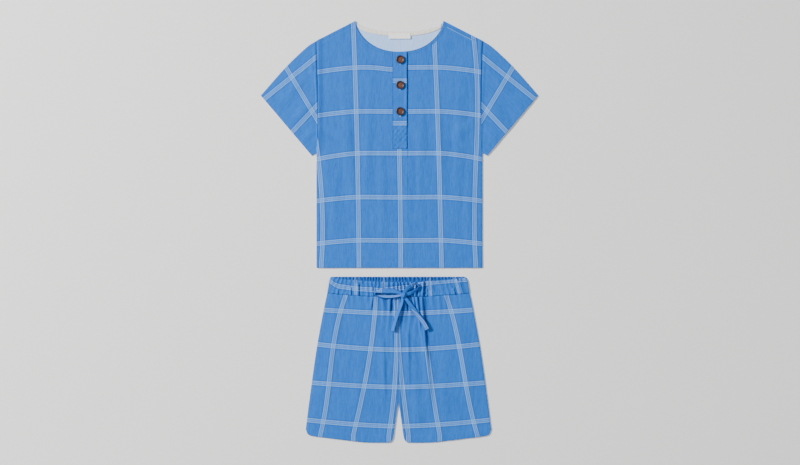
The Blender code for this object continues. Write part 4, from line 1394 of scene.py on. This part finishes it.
# ---- stitches ----
STITCH_NODES = {
    "given": "NodeGroupInput", "curve": "GeometryNodeMeshToCurve", "spaced": "GeometryNodeResampleCurve",
    "ball": "GeometryNodeMeshUVSphere", "shape": "ShaderNodeCombineXYZ", "sized": "GeometryNodeTransform",
    "along": "GeometryNodeInputTangent", "turned": "FunctionNodeAlignEulerToVector",
    "placed": "GeometryNodeInstanceOnPoints", "real": "GeometryNodeRealizeInstances",
    "coloured": "GeometryNodeSetMaterial", "smooth": "GeometryNodeSetShadeSmooth",
    "result": "NodeGroupOutput",
}
STITCH_LINKS = """given.Geometry curve.Mesh, curve.Curve spaced.Curve, given.Pitch spaced.Length,
    spaced.Curve placed.Points, given.Length shape.X, given.Thickness shape.Y, given.Thickness shape.Z,
    ball.Mesh sized.Geometry, shape.Vector sized.Scale, sized.Geometry placed.Instance,
    along.Tangent turned.Vector, turned.Rotation placed.Rotation, placed.Instances real.Geometry,
    real.Geometry coloured.Geometry, given.Thread coloured.Material, coloured.Geometry smooth.Geometry,
    smooth.Geometry result.Geometry"""


def stitch_tree():
    """Geometry Nodes: short plump stitches laid end to end along lines, a gap between each two."""
    tree = bpy.data.node_groups.new("sewn_line", "GeometryNodeTree")
    for label, kind in (("Geometry", "Geometry"), ("Pitch", "Float"), ("Length", "Float"),
                        ("Thickness", "Float"), ("Thread", "Material")):
        tree.interface.new_socket(label, in_out="INPUT", socket_type="NodeSocket" + kind)
    tree.interface.new_socket("Geometry", in_out="OUTPUT", socket_type="NodeSocketGeometry")
    made = {label: tree.nodes.new(kind) for label, kind in STITCH_NODES.items()}
    made["spaced"].mode = "LENGTH"
    made["turned"].axis = "X"
    made["turned"].pivot_axis = "AUTO"
    for label, value in (("Segments", 6), ("Rings", 4), ("Radius", 0.5)):
        made["ball"].inputs[label].default_value = value
    for link in STITCH_LINKS.split(","):
        (giver, out), (taker, into) = (end.split(".") for end in link.split())
        tree.links.new(made[giver].outputs[out], made[taker].inputs[into])
    return tree


sewn_line = stitch_tree()


def stitches(name, slot, lines, thread, pitch=3.0 * MM, length=2.1 * MM, thickness=0.34 * MM):
    """Stitches along several lines of points, as one plain mesh in the thread's finish."""
    points, edges = [], []
    for line in lines:
        edges += [(len(points) + k, len(points) + k + 1) for k in range(len(line) - 1)]
        points += line.tolist()
    mesh = bpy.data.meshes.new(name + "_lines")
    mesh.from_pydata(points, edges, [])
    guide = placed_in_scene(name + "_lines", mesh)
    sewn = guide.modifiers.new("sewn", "NODES")
    sewn.node_group = sewn_line
    values = {"Pitch": pitch, "Length": length, "Thickness": thickness, "Thread": thread}
    for item in sewn_line.interface.items_tree:
        if item.in_out == "INPUT" and item.name in values:
            sewn[item.identifier] = values[item.name]
    stands_for(baked(name, guide), slot)


def on_cloth(x, y, middle, wall=WALL, sunk=0.02 * MM):
    """Points just on the upper face of a cloth whose middle is given."""
    return grid_of(x, y, middle + wall / 2 - sunk)


def sewn_on(relief, x, y, *more, sunk=0.02 * MM):
    """Points just on the upper face of the cloth that has this relief."""
    x, y = grid_of(x, y).T
    return on_cloth(x, y, relief(x, y, *more), sunk=sunk)


neck_x = NECK_HALF * 0.985 * np.sin(np.linspace(-np.pi / 2, np.pi / 2, 160))
slope = np.gradient(neck_y(neck_x, FRONT_NECK_DEPTH), neck_x)
x = neck_x + slope / np.hypot(1, slope) * NECK_STITCH
y = neck_y(neck_x, FRONT_NECK_DEPTH) - 1 / np.hypot(1, slope) * NECK_STITCH
along_hem = np.linspace(-BODY_HALF + 2.0 * MM, BODY_HALF - 2.0 * MM, 260)
lines = [sewn_on(top_relief, along_hem, HEM_Y + HEM_STITCH)]
for clear in (x < SLOT_LEFT - 1.5 * MM, x > SLOT_RIGHT + 1.5 * MM):
    lines.append(sewn_on(top_relief, x[clear], y[clear]))
for side in (-1.0, 1.0):
    y = np.linspace(UNDERARM_Y + 2.0 * MM, SHOULDER_Y - 2.0 * MM, 160)
    x = side * (np.abs(scooped(np.full_like(y, BODY_HALF), y)) - ARMHOLE_STITCH)
    lines.append(sewn_on(top_relief, x, y))
    x = side * np.linspace(NECK_HALF + 3.0 * MM, BODY_HALF - 2.0 * MM, 60)
    lines.append(sewn_on(top_relief, x, top_edge(x, FRONT_NECK_DEPTH) - SHOULDER_STITCH))
x = np.linspace(0.0880, 0.1330, 60)
shoulder = sewn_on(top_relief, x, top_edge(x, FRONT_NECK_DEPTH) - 8.6 * MM, sunk=0.45 * MM)
stitches("stitches_top", "check_cotton", lines, blue_thread)
stitches("stitches_shoulder", "check_cotton", [shoulder], shoulder_thread, 1.3 * MM, 2.6 * MM, 1.9 * MM)

left, right, foot = SLOT_LEFT + 1.2 * MM, SLOT_RIGHT - 2.4 * MM, PLACKET_BOTTOM + 2.0 * MM
up = np.linspace(foot, TOP_Y - FRONT_NECK_DEPTH - 1.5 * MM, 140)
lines = [sewn_on(placket_relief, place, up) for place in (left, right)]
for height in (foot, BOX_TOP - 4.0 * MM):
    lines.append(sewn_on(placket_relief, np.linspace(left, right, 30), height))
stitches("stitches_placket", "check_cotton", lines, blue_thread, 2.6 * MM, 1.9 * MM)

lines = []
for number, below in ((1, 8.8), (2, 8.8), (3, 10.2)):
    centre = sum(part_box(f"button_{number}"), Vector()) / 2
    y = np.linspace(centre.y - below * MM, centre.y + 6.8 * MM, 40)
    for shift in (-0.45, 0.0, 0.45):
        lines.append(sewn_on(placket_relief, centre.x + shift * MM, y, sunk=-0.05 * MM))
stitches("buttonhole_threads", "check_cotton", lines, pale_thread, 0.55 * MM, 0.75 * MM, 0.5 * MM)

lines = [on_cloth(tape_x[4:-4], lower[4:-4] + 1.1 * MM, TAPE_MIDDLE, TAPE_WALL)]
y = np.linspace(label_low.y + 1.0 * MM, label_high.y - 1.0 * MM, 12)
for place in (label_left + 1.0 * MM, label_right - 1.0 * MM):
    lines.append(on_cloth(place, y, label_middle(y), LABEL_WALL))
stitches("stitches_tape", "ecru_tape", lines, tape_thread, 2.4 * MM, 1.9 * MM, 0.45 * MM)

out = np.linspace(0.0145, 0.1660, 120)
y = hem_line(out) + HEM_PEEK + HEM_STITCH
lines = [sewn_on(leg_relief, SHORTS_X + side * out, y, side) for side in (-1.0, 1.0)]
y = np.linspace(-0.302, SEAM_MIDDLE_Y - 4.0 * MM, 120)
lines.append(sewn_on(leg_relief, SHORTS_X + FLY_STITCH, y, 1.0))
reach = WAIST_SEAM_HALF - 3.0 * MM
x = np.linspace(SHORTS_X - reach, SHORTS_X + reach, 420)
for y in (waist_seam(x) + 2.6 * MM, rim_line(x) - 2.8 * MM):
    lines.append(sewn_on(waistband_relief, x, y, True))
stitches("stitches_shorts", "check_cotton", lines, blue_thread)
